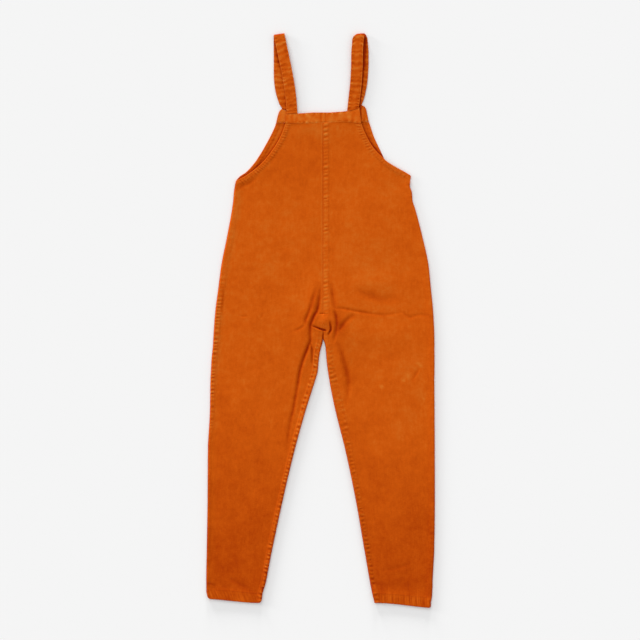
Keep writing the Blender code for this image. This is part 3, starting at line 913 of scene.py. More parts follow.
@dataclass(frozen=True)
class Panel:
    """One of the four panels, a bib half and a leg in one."""

    side: Side
    layer: Layer
    flat: tuple[float, float]
    area: float
    pattern: Pattern = Pattern()
    relief: Relief = Relief()
    shading: Shading = Shading()
    # How the cloth is held along its seams, and how low it may lie.
    side_reach: float = 26.0
    inseam_reach: float = 14.0
    lowest: float = 3.5
    bib_lift: float = 0.9
    bib_reach: tuple[float, float] = (20.0, 60.0)
    settle: float = 0.5
    corner_rise: float = 20.0
    centre_start: tuple[float, float] = (8.0, 24.0)
    centre_corner: float = 0.7
    cut_below: float = 0.4
    cut_above: float = 0.5
    # Puckers: heights, and the period and seed of their ripples.
    pucker: float = 0.45
    groove: float = 0.2
    groove_half: float = 1.3
    dimple: float = 0.4
    seam_ripple: float = 10.5
    seam_wander: float = 3.0
    stray: Crumple = Crumple(60.0, 26.0, 17)
    stray_share: float = 0.6
    side_gather: Gather = Gather(0.04, 36, 300.0, 0.45, 0.85, 0.1)
    inner_gather: Gather = Gather(0.22, 33, 0.0, 0.38, 0.6, 0.22)
    leg_start: tuple[float, float] = (30.0, 70.0)
    dot_ripple: tuple[float, int, tuple[float, float]] = (9.0, 46, (0.6, 1.0))
    dot_half: float = 3.2
    dot_wander: float = 2.4
    dot_tighter: float = 0.28
    knee: float = -300.0
    dash: Line = Line(1.5, 4.5, 0.6)
    hole_ripple: tuple[float, int] = (6.4, 30)
    hole_skew: float = 0.25
    hole_window: Line = Line(9.2, 5.6)
    hole_fade: float = 14.0
    hole_pucker: float = 0.35
    hole_groove: float = 0.1
    hem_ripples: tuple[tuple[float, float, int], ...] = ((0.36, 17.0, 40), (0.56, 17.0 / 2.2, 43))
    hem_patches: Crumple = Crumple(34.0, 50.0, 15)
    hem_level: Crumple = Crumple(40.0, 400.0, 16)
    hem_wander: float = 7.0
    hem_window: Line = Line(13.0, 11.0)
    hem_even: float = 0.65
    hem_uneven: float = 0.6
    hem_pucker: float = 0.4
    hem_sag: float = 1.8
    # The underside's stitch lines and dents.
    side_lines: tuple[Line, ...] = (Line(3.8, 1.2), Line(10.4, 1.2))
    inner_lines: tuple[Line, ...] = (Line(3.6, 1.2), Line(11.0, 1.2))
    hem_line_half: float = 1.4
    line_recess: float = 0.35
    dent: float = 0.8
    dent_most: float = 0.7
    dent_shift: float = 400.0
    dent_edges: tuple[float, float] = (3.0, 24.0)
    dent_rise: float = 30.0
    # Rows of stitches.
    hole_stitches: tuple[float, float] = (3.8, 10.2)
    hole_stitch_half: float = 1.1
    hem_stitch: float = 2.0
    hem_stitch_half: float = 1.5
    hem_stitch_ends: tuple[float, float] = (3.5, 3.0)
    fell_stitch: float = 1.2
    stitch_step: float = 2.0
    stitch_lift: float = 0.1
    stitch_end: float = 1.5
    # Where the points lie: across the rolls, and up from the hem.
    back_grid: Grid = Grid(6, 5, 15, 52, 40.0)
    front_grid: Grid = Grid(4, 3, 4, 26, 25.0)
    side_share: float = 0.09
    inner_share: float = 0.17
    hole_top: float = 510.0
    hole_points: int = 50
    above_armpit: float = 0.01
    row_gap: float = 1.5
    roll_steps: tuple[float, ...] = (0.0, 0.12, 0.3, 0.55, 0.8, 1.0)
    hem_rows: tuple[float, ...] = (27.5, 26.7, 26.0, 24.5, 22.5, 20.0, 17.5, 15.0, 12.5, 10.0,
                                   7.5, 5.2, 3.4, 2.2, 1.3, 0.6, 0.2, 0.0)

    @property
    def name(self) -> str:
        """Name of the solid that the panel replaces."""
        return f"{self.layer.value}_{self.side.name.lower()}"

    @property
    def zones(self) -> tuple[Zone, ...]:
        """Stretches of the panel with their row steps.

        Returns:
            The stretches from the band down.
        """
        if self.layer is Layer.BACK:
            return named(Zone, ((504, 346, 1.8), (346, 110, 3.1), (110, -80, 2.0),
                                (-80, -240, 2.7), (-240, -676, 2.95)))
        return named(Zone, ((504, 402, 4.0), (402, 346, 2.8), (346, 60, 6.5),
                            (60, -80, 3.5), (-80, -676, 6.5)))

    def rows(self) -> Array:
        """List the rows' heights from the band to the hem.

        Returns:
            Heights before the rows are slanted.
        """
        heights = []
        for zone in self.zones:
            count = round((zone.top - zone.bottom) / zone.step)
            heights += list(np.linspace(zone.top, zone.bottom, count, endpoint=False))
        end = self.pattern.hem(self.side).end
        first = end + self.hem_rows[0]
        heights = [y for y in heights if y > first + self.row_gap]
        return np.array(heights + [end + rise for rise in self.hem_rows])

    def frame_at(self, y: Array) -> tuple[Array, Array]:
        """Give X of the side edge and the panel's width at heights.

        Args:
            y: heights, before the rows are slanted.

        Returns:
            The edge's X, and the width there.
        """
        plain = self.pattern.side_edge(self.side, self.layer, y)
        slant = self.pattern.slanted(self.side, self.layer, plain, y)
        edge = self.pattern.side_edge(self.side, self.layer, slant)
        return edge, np.abs(self.pattern.inner_edge(self.side, y) - edge)

    def columns(self, y: Array) -> Array:
        """Give the distances of each row's points from the side edge.

        Args:
            y: the rows' heights.

        Returns:
            One row of distances for each height.
        """
        _, width = self.frame_at(y)
        grid = self.back_grid if self.layer is Layer.BACK else self.front_grid
        roll, step = self.pattern.cloth.roll, self.pattern.cloth.fell_step
        blocks = []
        for edge, part, count in ((Edge.SIDE, self.side_share, grid.side),
                                  (Edge.INNER, self.inner_share, grid.inner)):
            strip = self.pattern.fell(self.side, f"{edge.value}_width", y)[:, None]
            span = strip + step + np.minimum(part * width, grid.reach)[:, None]
            near = np.array(self.roll_steps)[None, :] * roll * np.ones_like(strip)
            across = roll + (strip - roll) * np.linspace(0.0, 1.0, grid.strip)[None, 1:]
            fall = strip + step * np.array([[0.5, 1.0]])
            share = np.linspace(0.0, 1.0, count + 1)[None, 1:]
            beyond = strip + step + (span - strip - step) * share
            blocks.append(np.concatenate([near, across, fall, beyond], axis=1))
        start, end = blocks[0][:, -1:], width[:, None] - blocks[1][:, -1:]
        middle = start + (end - start) * np.linspace(0.0, 1.0, grid.middle + 2)[None, 1:-1]
        return np.concatenate([blocks[0], middle, width[:, None] - blocks[1][:, ::-1]], axis=1)

    def hole(self, layer: Layer) -> Array:
        """Trace an armhole's edge from the band down to just above the armpit.

        Args:
            layer: whose armhole edge to trace.

        Returns:
            One row of x and y for each point.
        """
        end = self.pattern.armpit + self.above_armpit
        y = np.linspace(self.hole_top, end, self.hole_points)
        return stacked(self.pattern.side_edge(self.side, layer, y), y)

    def ripple(self, period: float, seed: int,
               swing: tuple[float, float] = Ripple.swing) -> Ripple:
        """Make ripples that differ from panel to panel."""
        layer = 0 if self.layer is Layer.BACK else 10
        return Ripple(period, seed + layer + int(self.side.value), swing=swing)

    def place(self, distance: Array, y: Array) -> Place:
        """Lay the cloth.

        Args:
            distance: distances from the side edge.
            y: heights, before the rows are slanted.

        Returns:
            Where the cloth lies and how light it is painted: fading, painted shade and light.
        """
        pattern, cloth, shading = self.pattern, self.pattern.cloth, self.shading
        outward, hem = self.side.value, pattern.hem(self.side)
        edge, width = self.frame_at(y)
        inset, x, rise = width - distance, edge - outward * distance, y - hem.end
        side_roll = ease(pattern.armpit - y, 0.0, pattern.side_roll)
        inner_roll = ease(pattern.inseam_top - y, 0.0, pattern.inseam_roll)
        turn = side_roll * np.arccos(np.clip(distance / cloth.roll, 0.0, 1.0))
        turn -= inner_roll * np.arccos(np.clip(inset / cloth.roll, 0.0, 1.0))
        drop, ply = cloth.roll * (1 - np.cos(turn)), cloth.ply * np.cos(turn)
        behind = x - outward * np.sin(turn) * cloth.ply
        corner = rounded(distance, hem.side_corner) + rounded(inset, hem.inner_corner)
        rows = pattern.slanted(self.side, self.layer, x, y)
        rows = rows + corner * (1 - ease(rise, 0.0, self.corner_rise))
        away, along, _ = nearest(self.hole(self.layer), x, y)
        cut = rounded(away, cloth.fold_edge) * (1 - side_roll)
        cut = np.maximum(cut, rounded(rise, cloth.fold_edge))
        # Painted shade on the rolled edges, more on those that face the lamps, and along the hem's
        # edge.
        painted_edge_shade = shading.roll - shading.roll_side * outward * np.sign(turn)
        base = self.relief.wear_and_shadow(x, y) - shading.shin * ease(-y, *shading.shin_heights)
        base = base - painted_edge_shade * (1 - np.cos(turn)) + shading.hem_edge.at(rise)
        # Painted light on the left side strips and painted shade on the right ones, against how
        # the lamps light their slopes.
        base = base - outward * side_roll * shading.facing.at(distance)
        parts = [self.armhole(away, along), self.turned_hem(x, y, rise)]
        if self.layer is Layer.BACK:
            parts += [self.seam(Edge.SIDE, distance, y), self.seam(Edge.INNER, inset, y)]
            centre = (1 - inner_roll) * ease(y, *self.centre_start)
            cut = np.maximum(cut, rounded(inset, self.centre_corner) * centre)
            crest = centre * ease(y, *shading.centre_heights)
            base = base + shading.centre_edge.at(inset) * crest
            held = np.maximum(side_roll * (1 - ease(distance, cloth.roll, self.side_reach)),
                              inner_roll * (1 - ease(inset, cloth.roll, self.inseam_reach)))
            relief, trough = self.relief.at(x, y)
            bib = (1 - side_roll) * (1 - ease(distance, *self.bib_reach))
            free = at_least(cloth.laid + relief, self.lowest + self.bib_lift * bib, self.settle)
            top = free + (cloth.edge - free) * held - drop
            raised = sum(part.ply for part in parts) * np.cos(turn)
            # Painted shade in the troughs of the creases.
            tone = base - shading.trough * trough + sum(part.tone for part in parts)
            return Place(stacked(x, rows, top + raised - cut), stacked(behind, rows, top - ply),
                         tone, tone)
        left = self.side is Side.LEFT
        recess, lines = self.underside(x, y, distance, inset, rise)
        # Painted shadow under the back's armhole edge, and painted shade at the front's own
        # armhole edge.
        gap = (shading.left_gap if left else shading.right_gap).at(
            nearest(self.hole(Layer.BACK), x, y)[0], y)
        gap = gap * (1 - shading.gap_fade * ease(y, *shading.gap_heights)) * (1 - side_roll)
        inside = shading.inside_share * parts[0].tone - gap + ruled(shading.inside, away)
        if left:
            inside = inside + ruled(shading.inside_left, away)
        tone = base - shading.under_line * lines
        tone = tone + shading.under_share * sum(part.tone for part in parts)
        outer = stacked(x, rows, drop + recess + self.cut_below * cut)
        top = drop + ply + parts[0].ply * (1 - side_roll) - self.cut_above * cut
        return Place(outer, stacked(behind, rows, top), tone, base + inside)

    def armhole(self, away: Array, along: Array) -> Sewn:
        """Turn the armhole's narrow hem, with two rows of puckered stitching.

        Args:
            away: distances from the armhole's edge.
            along: distances along that edge.

        Returns:
            What the hem adds.
        """
        cloth, shading = self.pattern.cloth, self.shading
        wave = self.ripple(*self.hole_ripple).at(along + self.hole_skew * away)
        end = lengths(self.hole(self.layer))[-1]
        window = self.hole_window.at(away) * (1 - ease(along, end - self.hole_fade, end))
        lines = sum(bell(away, stitch, self.hole_stitch_half) for stitch in self.hole_stitches)
        inner, outer = cloth.armhole_hem - cloth.fell_step, cloth.armhole_hem + 2 * cloth.fell_step
        ply = cloth.armhole_rise * (1 - ease(away, inner, outer))
        ply = ply + self.hole_pucker * wave * window - self.hole_groove * lines
        tone = lit(wave, shading.hole_light, shading.hole_dark) * window
        # A paler line inside the edge, partly faded and partly painted highlight, and painted
        # shade on the edge itself.
        return Sewn(ply, tone + ruled(shading.hole_edge, away))

    def seam(self, edge: Edge, offset: Array, y: Array) -> Sewn:
        """Fell a seam, with the puckers that its stitching draws.

        Args:
            edge: the panel's edge that the seam joins.
            offset: distances from that edge.
            y: heights.

        Returns:
            What the seam adds.
        """
        fell, shading = self.pattern.fell, self.shading
        gather = self.side_gather if edge is Edge.SIDE else self.inner_gather
        width, rise, pucker = (fell(self.side, f"{edge.value}_{part}", y)
                               for part in ("width", "rise", "pucker"))
        stray = self.stray.at(offset + gather.shift, y)
        wave = self.ripple(self.seam_ripple, gather.seed).at(
            y - gather.skew * offset + self.seam_wander * stray)
        window = bell(offset, 0.5 * width, 0.45 * width) * pucker * (1 + self.stray_share * stray)
        strip = 1 - ease(offset, width, width + self.pattern.cloth.fell_step)
        line = bell(offset, width - self.fell_stitch, self.groove_half) * rise
        ply = rise * strip + self.pucker * wave * window - self.groove * line
        dark = gather.dark + shading.seat * ease(y, *shading.seat_heights)
        tone = (lit(wave, gather.light, dark) + gather.glow) * window - shading.seam_line * line
        if edge is Edge.INNER:
            leg = ease(-y, *self.leg_start)
            beside = offset - fell(self.side, "inner_dot", y) - self.dot_wander * stray
            closer = y - self.dot_tighter * np.maximum(y - self.knee, 0.0)
            drawn = self.ripple(*self.dot_ripple).at(closer - gather.skew * offset)
            dimple = np.maximum(-drawn, 0) * bell(beside, 0.0, self.dot_half) * pucker * leg
            dash = np.maximum(drawn, 0) ** 2 * self.dash.at(beside) * pucker * leg
            plain = (1 - np.minimum(pucker, 1.0)) * ease(y, *shading.plain_heights)
            ply = ply - self.dimple * dimple
            tone = tone * (1 - shading.leg_fade * leg) - shading.dimple * dimple + dash
            tone = tone + shading.plain_line.at(offset) * plain
        return Sewn(ply, tone)

    def turned_hem(self, x: Array, y: Array, rise: Array) -> Sewn:
        """Turn the leg's hem up, twisted and puckered unevenly by its stitching.

        Args:
            x: places across.
            y: heights.
            rise: heights above the hem's lower end.

        Returns:
            What the hem adds.
        """
        cloth, shading = self.pattern.cloth, self.shading
        patch = self.hem_patches.at(x, y)
        across = x + self.pattern.hem(self.side).twist * rise + self.hem_wander * patch
        wave = sum(share * self.ripple(period, seed).at(across)
                   for share, period, seed in self.hem_ripples)
        window = self.hem_window.at(rise) * (self.hem_even + self.hem_uneven * patch)
        level = rise + self.hem_sag * self.hem_level.at(x, y)
        strip = 1 - ease(level, *cloth.turned)
        line = bell(level, cloth.hem_depth - self.hem_stitch, self.hem_stitch_half)
        ply = cloth.hem_rise * strip + self.hem_pucker * wave * window - self.groove * line
        tone = lit(wave, shading.hem_light, shading.hem_dark) * window
        tone += strip * (shading.hem_glow + shading.hem_patch * patch) - shading.hem_line * line
        return Sewn(ply, tone)

    def underside(self, x: Array, y: Array, distance: Array, inset: Array,
                  rise: Array) -> tuple[Array, Array]:
        """Dent the cloth that lies on the floor.

        Args:
            x: places across.
            y: heights.
            distance: distances from the side edge.
            inset: distances from the inner edge.
            rise: heights above the hem's lower end.

        Returns:
            How far the underside stands off the floor, and the lines drawn in by stitches.
        """
        lines = ruled(self.side_lines, distance) + ruled(self.inner_lines, inset)
        stitch = self.pattern.cloth.hem_depth - self.hem_stitch
        lines = lines + bell(rise, stitch, self.hem_line_half)
        dents = sum(amount * crumple.at(x + self.dent_shift, y)
                    for amount, crumple in self.relief.crumples)
        free = (ease(distance, *self.dent_edges) * ease(inset, *self.dent_edges)
                * ease(rise, 0.0, self.dent_rise))
        dents = self.dent * np.clip(dents, 0.0, self.dent_most) * free
        return self.line_recess * np.clip(lines, 0.0, 1.0) + dents, lines

    def stitch_rows(self) -> list[Array]:
        """Lay the lines that the stitches follow on the panel's outer face.

        Returns:
            One array of points for each row of stitches.
        """
        lines = []
        for row in self.sewing():
            y = np.arange(row.top, row.bottom, -self.stitch_step)
            offset = np.full(y.shape, row.offset)
            if row.offset < 0:
                offset += self.pattern.fell(self.side, f"{row.edge.value}_width", y)
            _, width = self.frame_at(y)
            lines.append(self.place(offset if row.edge is Edge.SIDE else width - offset, y).outer)
        hole = self.hole(self.layer)
        way = np.gradient(hole, axis=0)
        inward = unit(stacked(way[:, 1], -way[:, 0])) * self.side.value
        for offset in self.hole_stitches:
            x, y = (hole + offset * inward)[:-1].T
            edge, _ = self.frame_at(y)
            lines.append(self.place(self.side.value * (edge - x), y).outer)
        end, depth = self.pattern.hem(self.side).end, self.pattern.cloth.hem_depth
        y = np.array(end + depth - self.hem_stitch)
        _, width = self.frame_at(y)
        first, last = self.hem_stitch_ends
        distance = np.arange(first, float(width) - last, self.stitch_step)
        lines.append(self.place(distance, np.full(distance.shape, float(y))).outer)
        for line in lines:
            line[:, 2] += self.stitch_lift if self.layer is Layer.BACK else -self.stitch_lift
        return lines

    def sewing(self) -> tuple[Row, ...]:
        """List the rows of stitches along the panel's seams.

        Returns:
            The rows, in the order in which they are sewn.
        """
        side, inner, felled = Edge.SIDE, Edge.INNER, -self.fell_stitch
        end = self.pattern.hem(self.side).end + self.stitch_end
        rows = {
            (Layer.FRONT, Side.LEFT): (
                (inner, 2.4, 500.0, 4.0), (inner, 3.8, -46.0, end)),
            (Layer.FRONT, Side.RIGHT): (
                (inner, 2.4, 500.0, 4.0), (inner, 3.8, -46.0, end), (side, 4.4, 346.0, end),
                (side, 12.0, 344.0, end), (inner, 9.0, 500.0, 4.0)),
            (Layer.BACK, Side.LEFT): (
                (side, felled, 100.0, end), (side, 5.0, 100.0, end), (inner, 3.0, 500.0, 21.0),
                (inner, felled, -40.0, end), (inner, 4.6, -48.0, end)),
            (Layer.BACK, Side.RIGHT): (
                (inner, 1.9, 500.0, 21.0), (inner, felled, 500.0, 21.0),
                (inner, felled, -36.0, end), (inner, 4.6, -48.0, end)),
        }
        return named(Row, rows[self.layer, self.side])

    def build(self, weaver: Weaver) -> bpy.types.Object:
        """Make the panel's shell of cloth.

        Args:
            weaver: makes the mesh.

        Returns:
            The panel's object.
        """
        y = self.rows()
        distance = self.columns(y)
        heights = np.repeat(y[:, None], distance.shape[1], axis=1)
        place = self.place(distance, heights)
        grain = self.pattern.grain(self.side, place.outer[..., 0], place.outer[..., 1])
        piece = weaver.shell(f"{self.name}_cloth", place, grain)
        self.rests()
        return piece

    def rests(self) -> list[str]:
        """Name what the panel lies on."""
        return [f"front_{self.side.name.lower()}_cloth"] if self.layer is Layer.BACK else ["floor"]


# ---- Bands and straps -----------------------------------------------------------------
@dataclass(frozen=True)
class Ribbon:
    """A strip of cloth folded and sewn flat, with a row of stitches near each long edge."""

    thickness: float = 3.0
    corner: float = 1.3
    stitch_inset: float = 3.0
    groove: float = 0.35
    pucker: float = 0.24
    ripple: float = 9.0
    tone: float = 0.0
    rungs: float = 1.0
    rungs_share: float = 0.55
    skew: float = 0.05
    wander: float = 2.0
    even: float = 0.8
    loose: float = 0.6
    stray_cells: tuple[float, float] = (9.0, 14.0)
    loose_cells: tuple[float, float] = (12.0, 30.0)
    bars: float = 0.4
    bar_ripple: float = 1.5
    bar_skew: float = 0.1
    bar_wander: float = 2.5
    gathered: Line = Line(1.0, 3.2)
    groove_half: float = 0.9
    flat_edge: float = 2.0
    light: float = 1.1
    dark: float = 0.7
    uneven: float = 0.22
    line_shade: float = 0.12
    # A paler line just inside each edge, partly faded and partly painted highlight, and painted
    # shade on the edge itself.
    rim: tuple[Line, ...] = (Line(1.7, 0.9, 0.5), Line(0.0, 0.8, -0.8))
    face_gap: float = 40.0
    short: float = 0.96
    stitch_lift: float = 0.12
    around: tuple[float, ...] = (0.0, 0.15, 0.5, 1.0, 1.5, 2.2, 3.0, 3.8, 5.0, 6.6, 8.6, 10.8,
                                 13.0)

    def section(self, width: Array) -> tuple[Array, Array]:
        """Give offsets across one face, and how far in from the nearer edge each lies.

        Args:
            width: the ribbon's width at each ring.

        Returns:
            The offsets from the middle line, and the distances from the edge.
        """
        half = width[:, None] / 2
        left = np.minimum(np.array(self.around)[None, :], half * self.short)
        left = -half + left * np.minimum(1.0, half / max(self.around))
        inward = left + half
        across = np.concatenate([left, -left[:, ::-1]], axis=1)
        return across, np.concatenate([inward, inward[:, ::-1]], axis=1)

    def rings(self, middle: Array, across: Array, up: Array, width: Array, along: Array,
              seed: int) -> tuple[Array, Array, Array]:
        """Lay rings of points along the ribbon.

        Args:
            middle: the ribbon's middle line.
            across: unit directions across it.
            up: unit directions out of its upper face.
            width: its width at each ring.
            along: distance along it at each ring.
            seed: picks its ripples.

        Returns:
            The rings, their tone and their grain.
        """
        offset, inward = self.section(width)
        along = along[:, None]
        # The shifts only pick other parts of the unevenness.
        stray = Crumple(*self.stray_cells, seed + 50).at(offset + 100.0, along + 300.0)
        wave = Ripple(self.ripple, seed).at(along + self.skew * offset + self.wander * stray)
        loose = Crumple(*self.loose_cells, seed + 51).at(offset + 50.0, along)
        wave = wave * (self.even + self.loose * loose)
        wave = wave * self.gathered.at(inward - self.stitch_inset)
        bars = Ripple(self.ripple * self.bar_ripple, seed + 100).at(
            along - self.bar_skew * offset + self.bar_wander * stray)
        bars = self.bars * bars
        line = bell(inward, self.stitch_inset, self.groove_half)
        half = self.thickness / 2
        swell = half - rounded(inward, self.corner) * (half / self.corner)
        drawn = self.pucker * (wave + bars) - self.groove * line
        swell += drawn * ease(inward, 0.0, self.flat_edge)
        tone = self.rungs * lit(self.rungs_share * wave + bars, self.light, self.dark)
        # The rim: a paler line, partly faded and partly painted highlight, and painted shade on
        # the edge itself.
        tone += self.tone + self.uneven * stray - self.line_shade * line + ruled(self.rim, inward)
        # Painted shade on the outside of a strap's fold, where the ribbon turns over.
        tone -= np.hypot(up[:, 0], up[:, 1])[:, None]
        parts = [], [], []
        for face in (1, -1):
            points = middle[:, None] + across[:, None] * offset[..., None]
            points = points + face * up[:, None] * swell[..., None]
            chart = stacked(offset + self.face_gap * face, along) * MM
            for kept, part in zip(parts, (points, tone, chart)):
                kept.append(part[:, ::face])
        return tuple(np.concatenate(kept, axis=1) for kept in parts)

    def stitch_lines(self, rings: Array) -> list[Array]:
        """Lay the lines of stitches on both faces of the ribbon's rings.

        Args:
            rings: the ribbon's rings of points.

        Returns:
            One array of points for each row of stitches.
        """
        last = rings.shape[1] // 2 - 1
        beside = int(np.argmin(np.abs(np.array(self.around) - self.stitch_inset)))
        middle = rings.mean(axis=1)
        lines = []
        for start in (0, last + 1):
            across = unit(rings[:, start] - rings[:, start + last])
            for column in (beside, last - beside):
                line = rings[:, start + column]
                out = line - middle
                out = unit(out - across * np.einsum("ij,ij->i", out, across)[:, None])
                lines.append(line + self.stitch_lift * out)
        return lines


@dataclass(frozen=True)
class Band:
    """A folded band across the top of a layer."""

    layer: Layer
    flat: tuple[float, float]
    pattern: Pattern = Pattern()
    ribbon: Ribbon = Ribbon(stitch_inset=2.2, ripple=12.0, corner=1.2, tone=0.08, rungs=0.6)
    step: float = 1.8
    seeds: tuple[int, int] = (67, 61)
    seam_lines: tuple[Line, ...] = (Line(1.0, 1.5, 0.3), Line(12.2, 1.5, 0.3))
    low_line: Line = Line(0.8, 1.2)
    # Painted shade along the back band's lower edge beside the straps, and painted shadow of the
    # back's right armhole edge on the front band.
    strap_shades: tuple[Line, ...] = (Line(-75.0, 17.0, 0.5), Line(92.0, 12.0, 0.5))
    end_shade: Line = Line(-1.0, 3.0, 1.2)
    sewn_width: float = 16.0

    @property
    def name(self) -> str:
        """Name of the solid that the band replaces."""
        return f"{self.layer.value}_band"

    def lay(self) -> tuple[Array, Array, Array, Array]:
        """Lay the band's rings, with their tone, grain and widths.

        Returns:
            Rings of points, their tone, their grain and the width at each ring.
        """
        rows, cloth = self.pattern.band(self.layer), self.pattern.cloth
        back = self.layer is Layer.BACK
        x = np.arange(rows[0].x, rows[-1].x, self.step)
        x = np.unique(np.concatenate([x, [row.x for row in rows]]))
        top, bottom = straight(rows, "top", x), straight(rows, "bottom", x)
        centre = (cloth.band_lift if back else 0.0) + cloth.band / 2
        middle = stacked(x, (top + bottom) / 2, centre)
        across, up = stacked(0 * x, 1.0, 0.0), stacked(0 * x, 0.0, 1.0)
        rings, tone, grain = self.ribbon.rings(middle, across, up, top - bottom, x,
                                               self.seeds[back])
        x, y, z = (rings[..., i] for i in range(3))
        if back:
            dip = ruled(self.seam_lines, x)
            low = self.low_line.at(y - bottom[:, None])
            # The centre seam darkens the band; painted shade along its lower edge beside the
            # straps.
            tone -= dip + low * ruled(self.strap_shades, x)
            z -= dip * (z > centre)
        else:
            # Painted shadow of the back's right armhole edge on the front band.
            tone -= self.end_shade.at(x - read(self.pattern.armholes, "right_back", y))
        rings[..., 2] = np.maximum(z, 0.0)
        return rings, tone, grain, top - bottom

    def stitch_rows(self) -> list[Array]:
        """Lay the lines that the band's stitches follow."""
        rings, _, _, width = self.lay()
        return self.ribbon.stitch_lines(rings[width > self.sewn_width])

    def build(self, weaver: Weaver) -> bpy.types.Object:
        """Make the band.

        Args:
            weaver: makes the mesh.

        Returns:
            The band's object.
        """
        rings, tone, grain, _ = self.lay()
        piece = weaver.tube(f"{self.name}_cloth", rings, tone, grain)
        return piece


class Run(NamedTuple):
    """A point of a strap's middle line, and the height of its mid-plane there."""

    height: float
    x: float
    centre: float


class Shade(NamedTuple):
    """How dark and how wide the painted shadow beside a strap's upper run is at a height."""

    height: float
    amount: float
    width: float


class Corner(NamedTuple):
    """A rounded corner of a strap's fold."""

    width: float
    height: float

    def fall(self, distance: Array) -> Array:
        """Tell how far the fold's end falls away at a distance from its side."""
        return rounded(distance, self.width) * self.height / self.width


@dataclass(frozen=True)
class Strap:
    """A strap, from the back band over a fold and down beneath itself to the front band."""

    side: Side
    width: float
    fold_x: float
    upper: tuple[Run, ...]
    lower: tuple[Run, ...]
    shades: tuple[Shade, ...]
    corners: tuple[Corner, Corner]
    drop: float
    flat: tuple[float, float]
    pattern: Pattern = Pattern()
    ribbon: Ribbon = Ribbon(tone=-0.1)
    fold_top: float = 732.5
    trim: float = 24.0
    reach: float = 4.0
    seed: int = 71
    back_end: Line = Line(0.0, 3.0, 0.21)
    front_end: Line = Line(0.0, 3.0, 0.7)
    fold: tuple[float, float] = (60.0, 6.0)
    run_step: float = 1.7
    fold_rings: int = 12

    @property
    def name(self) -> str:
        """Name of the solid that the strap replaces."""
        return f"strap_{self.side.name.lower()}"

    def direction(self, run: tuple[Run, ...], y: Array) -> Array:
        """Give unit directions of a run towards the fold, in plan."""
        dx = read(run, "x", y + self.reach) - read(run, "x", y - self.reach)
        return unit(stacked(dx, 2 * self.reach, 0.0))

    def lay(self) -> tuple[Array, Array, Array, Array]:
        """Lay the strap's rings, with their tone, grain and widths.

        Returns:
            Rings of points, their tone, their grain and the width at each ring.
        """
        half = self.ribbon.thickness / 2
        high, low = self.upper[-1].centre, self.lower[-1].centre
        bend = (high - low) / 2
        start = self.fold_top - half - bend
        rise = np.arange(self.upper[0].height, start, self.run_step)
        fall = np.arange(self.lower[0].height, start, self.run_step)[::-1]
        parts = [(stacked(read(run, "x", y), y, read(run, "centre", y)), self.direction(run, y),
                  stacked(0 * y, 0.0, face))
                 for run, y, face in ((self.upper, rise, 1.0), (self.lower, fall, -1.0))]
        share = np.linspace(0.0, 1.0, self.fold_rings + 2)[1:-1]
        angle = math.pi * share[:, None]
        way = unit(parts[0][1][-1] * (1 - share[:, None]) + parts[1][1][0] * share[:, None])
        up = np.array([[0.0, 0.0, 1.0]]) * np.cos(angle) + way * np.sin(angle)
        middle = np.array([[0.0, start, (high + low) / 2]]) + up * bend
        ends = [float(read(run, "x", np.array(start))) for run in (self.upper, self.lower)]
        middle[:, 0] = smooth([0.0, 0.5, 1.0], [ends[0], self.fold_x, ends[1]], share)
        parts.insert(1, (middle, way, up))
        middle, way, up = (np.concatenate(kind) for kind in zip(*parts))
        across = stacked(way[:, 1], -way[:, 0], 0.0)
        along = np.concatenate([[0.0], np.cumsum(np.linalg.norm(np.diff(middle, axis=0), axis=1))])
        width = np.full(len(middle), self.width)
        rings, tone, grain = self.ribbon.rings(middle, across, up, width, along,
                                               self.seed + 2 * int(self.side.value))
        under = slice(-len(fall), None)
        for run, rows, layer, end in (
            (self.upper, slice(0, len(rise)), Layer.BACK, self.back_end),
            (self.lower, under, Layer.FRONT, self.front_end),
        ):
            past = (middle[rows, 1] - run[0].height)[:, None]
            x, y = rings[rows, :, 0], rings[rows, :, 1]
            line = straight(self.pattern.band(layer), "top", x) + self.pattern.cloth.gap
            y += (line - y + past) * (1 - ease(past, 0.0, self.trim))
            tone[rows] -= end.at(past)
        # Painted shadow on the lower run beside the upper run's edge, inside the fold.
        x, y = rings[under, :, 0], rings[under, :, 1]
        gap = self.side.value * (x - read(self.upper, "x", y)) - self.width / 2
        near = np.maximum(gap, 0) / read(self.shades, "width", y)
        tone[under] -= read(self.shades, "amount", y) * bell(near * near)
        offset = np.einsum("ijk,ik->ij", rings - middle[:, None], across)
        left, right = offset + self.width / 2, self.width / 2 - offset
        near = ease(rings[..., 1], *(self.fold_top - below for below in self.fold))
        shift = self.corners[0].fall(left) + self.corners[1].fall(right)
        rings[..., 1] -= near * (shift + self.drop * right / self.width)
        rings[..., 2] = np.maximum(rings[..., 2], 0.0)
        return rings, tone, grain, width

    def stitch_rows(self) -> list[Array]:
        """Lay the lines that the strap's stitches follow on both of its faces."""
        return self.ribbon.stitch_lines(self.lay()[0])

    def build(self, weaver: Weaver) -> bpy.types.Object:
        """Make the strap.

        Args:
            weaver: makes the mesh.

        Returns:
            The strap's object.
        """
        rings, tone, grain, _ = self.lay()
        piece = weaver.tube(f"{self.name}_cloth", rings, tone, grain)
        return piece


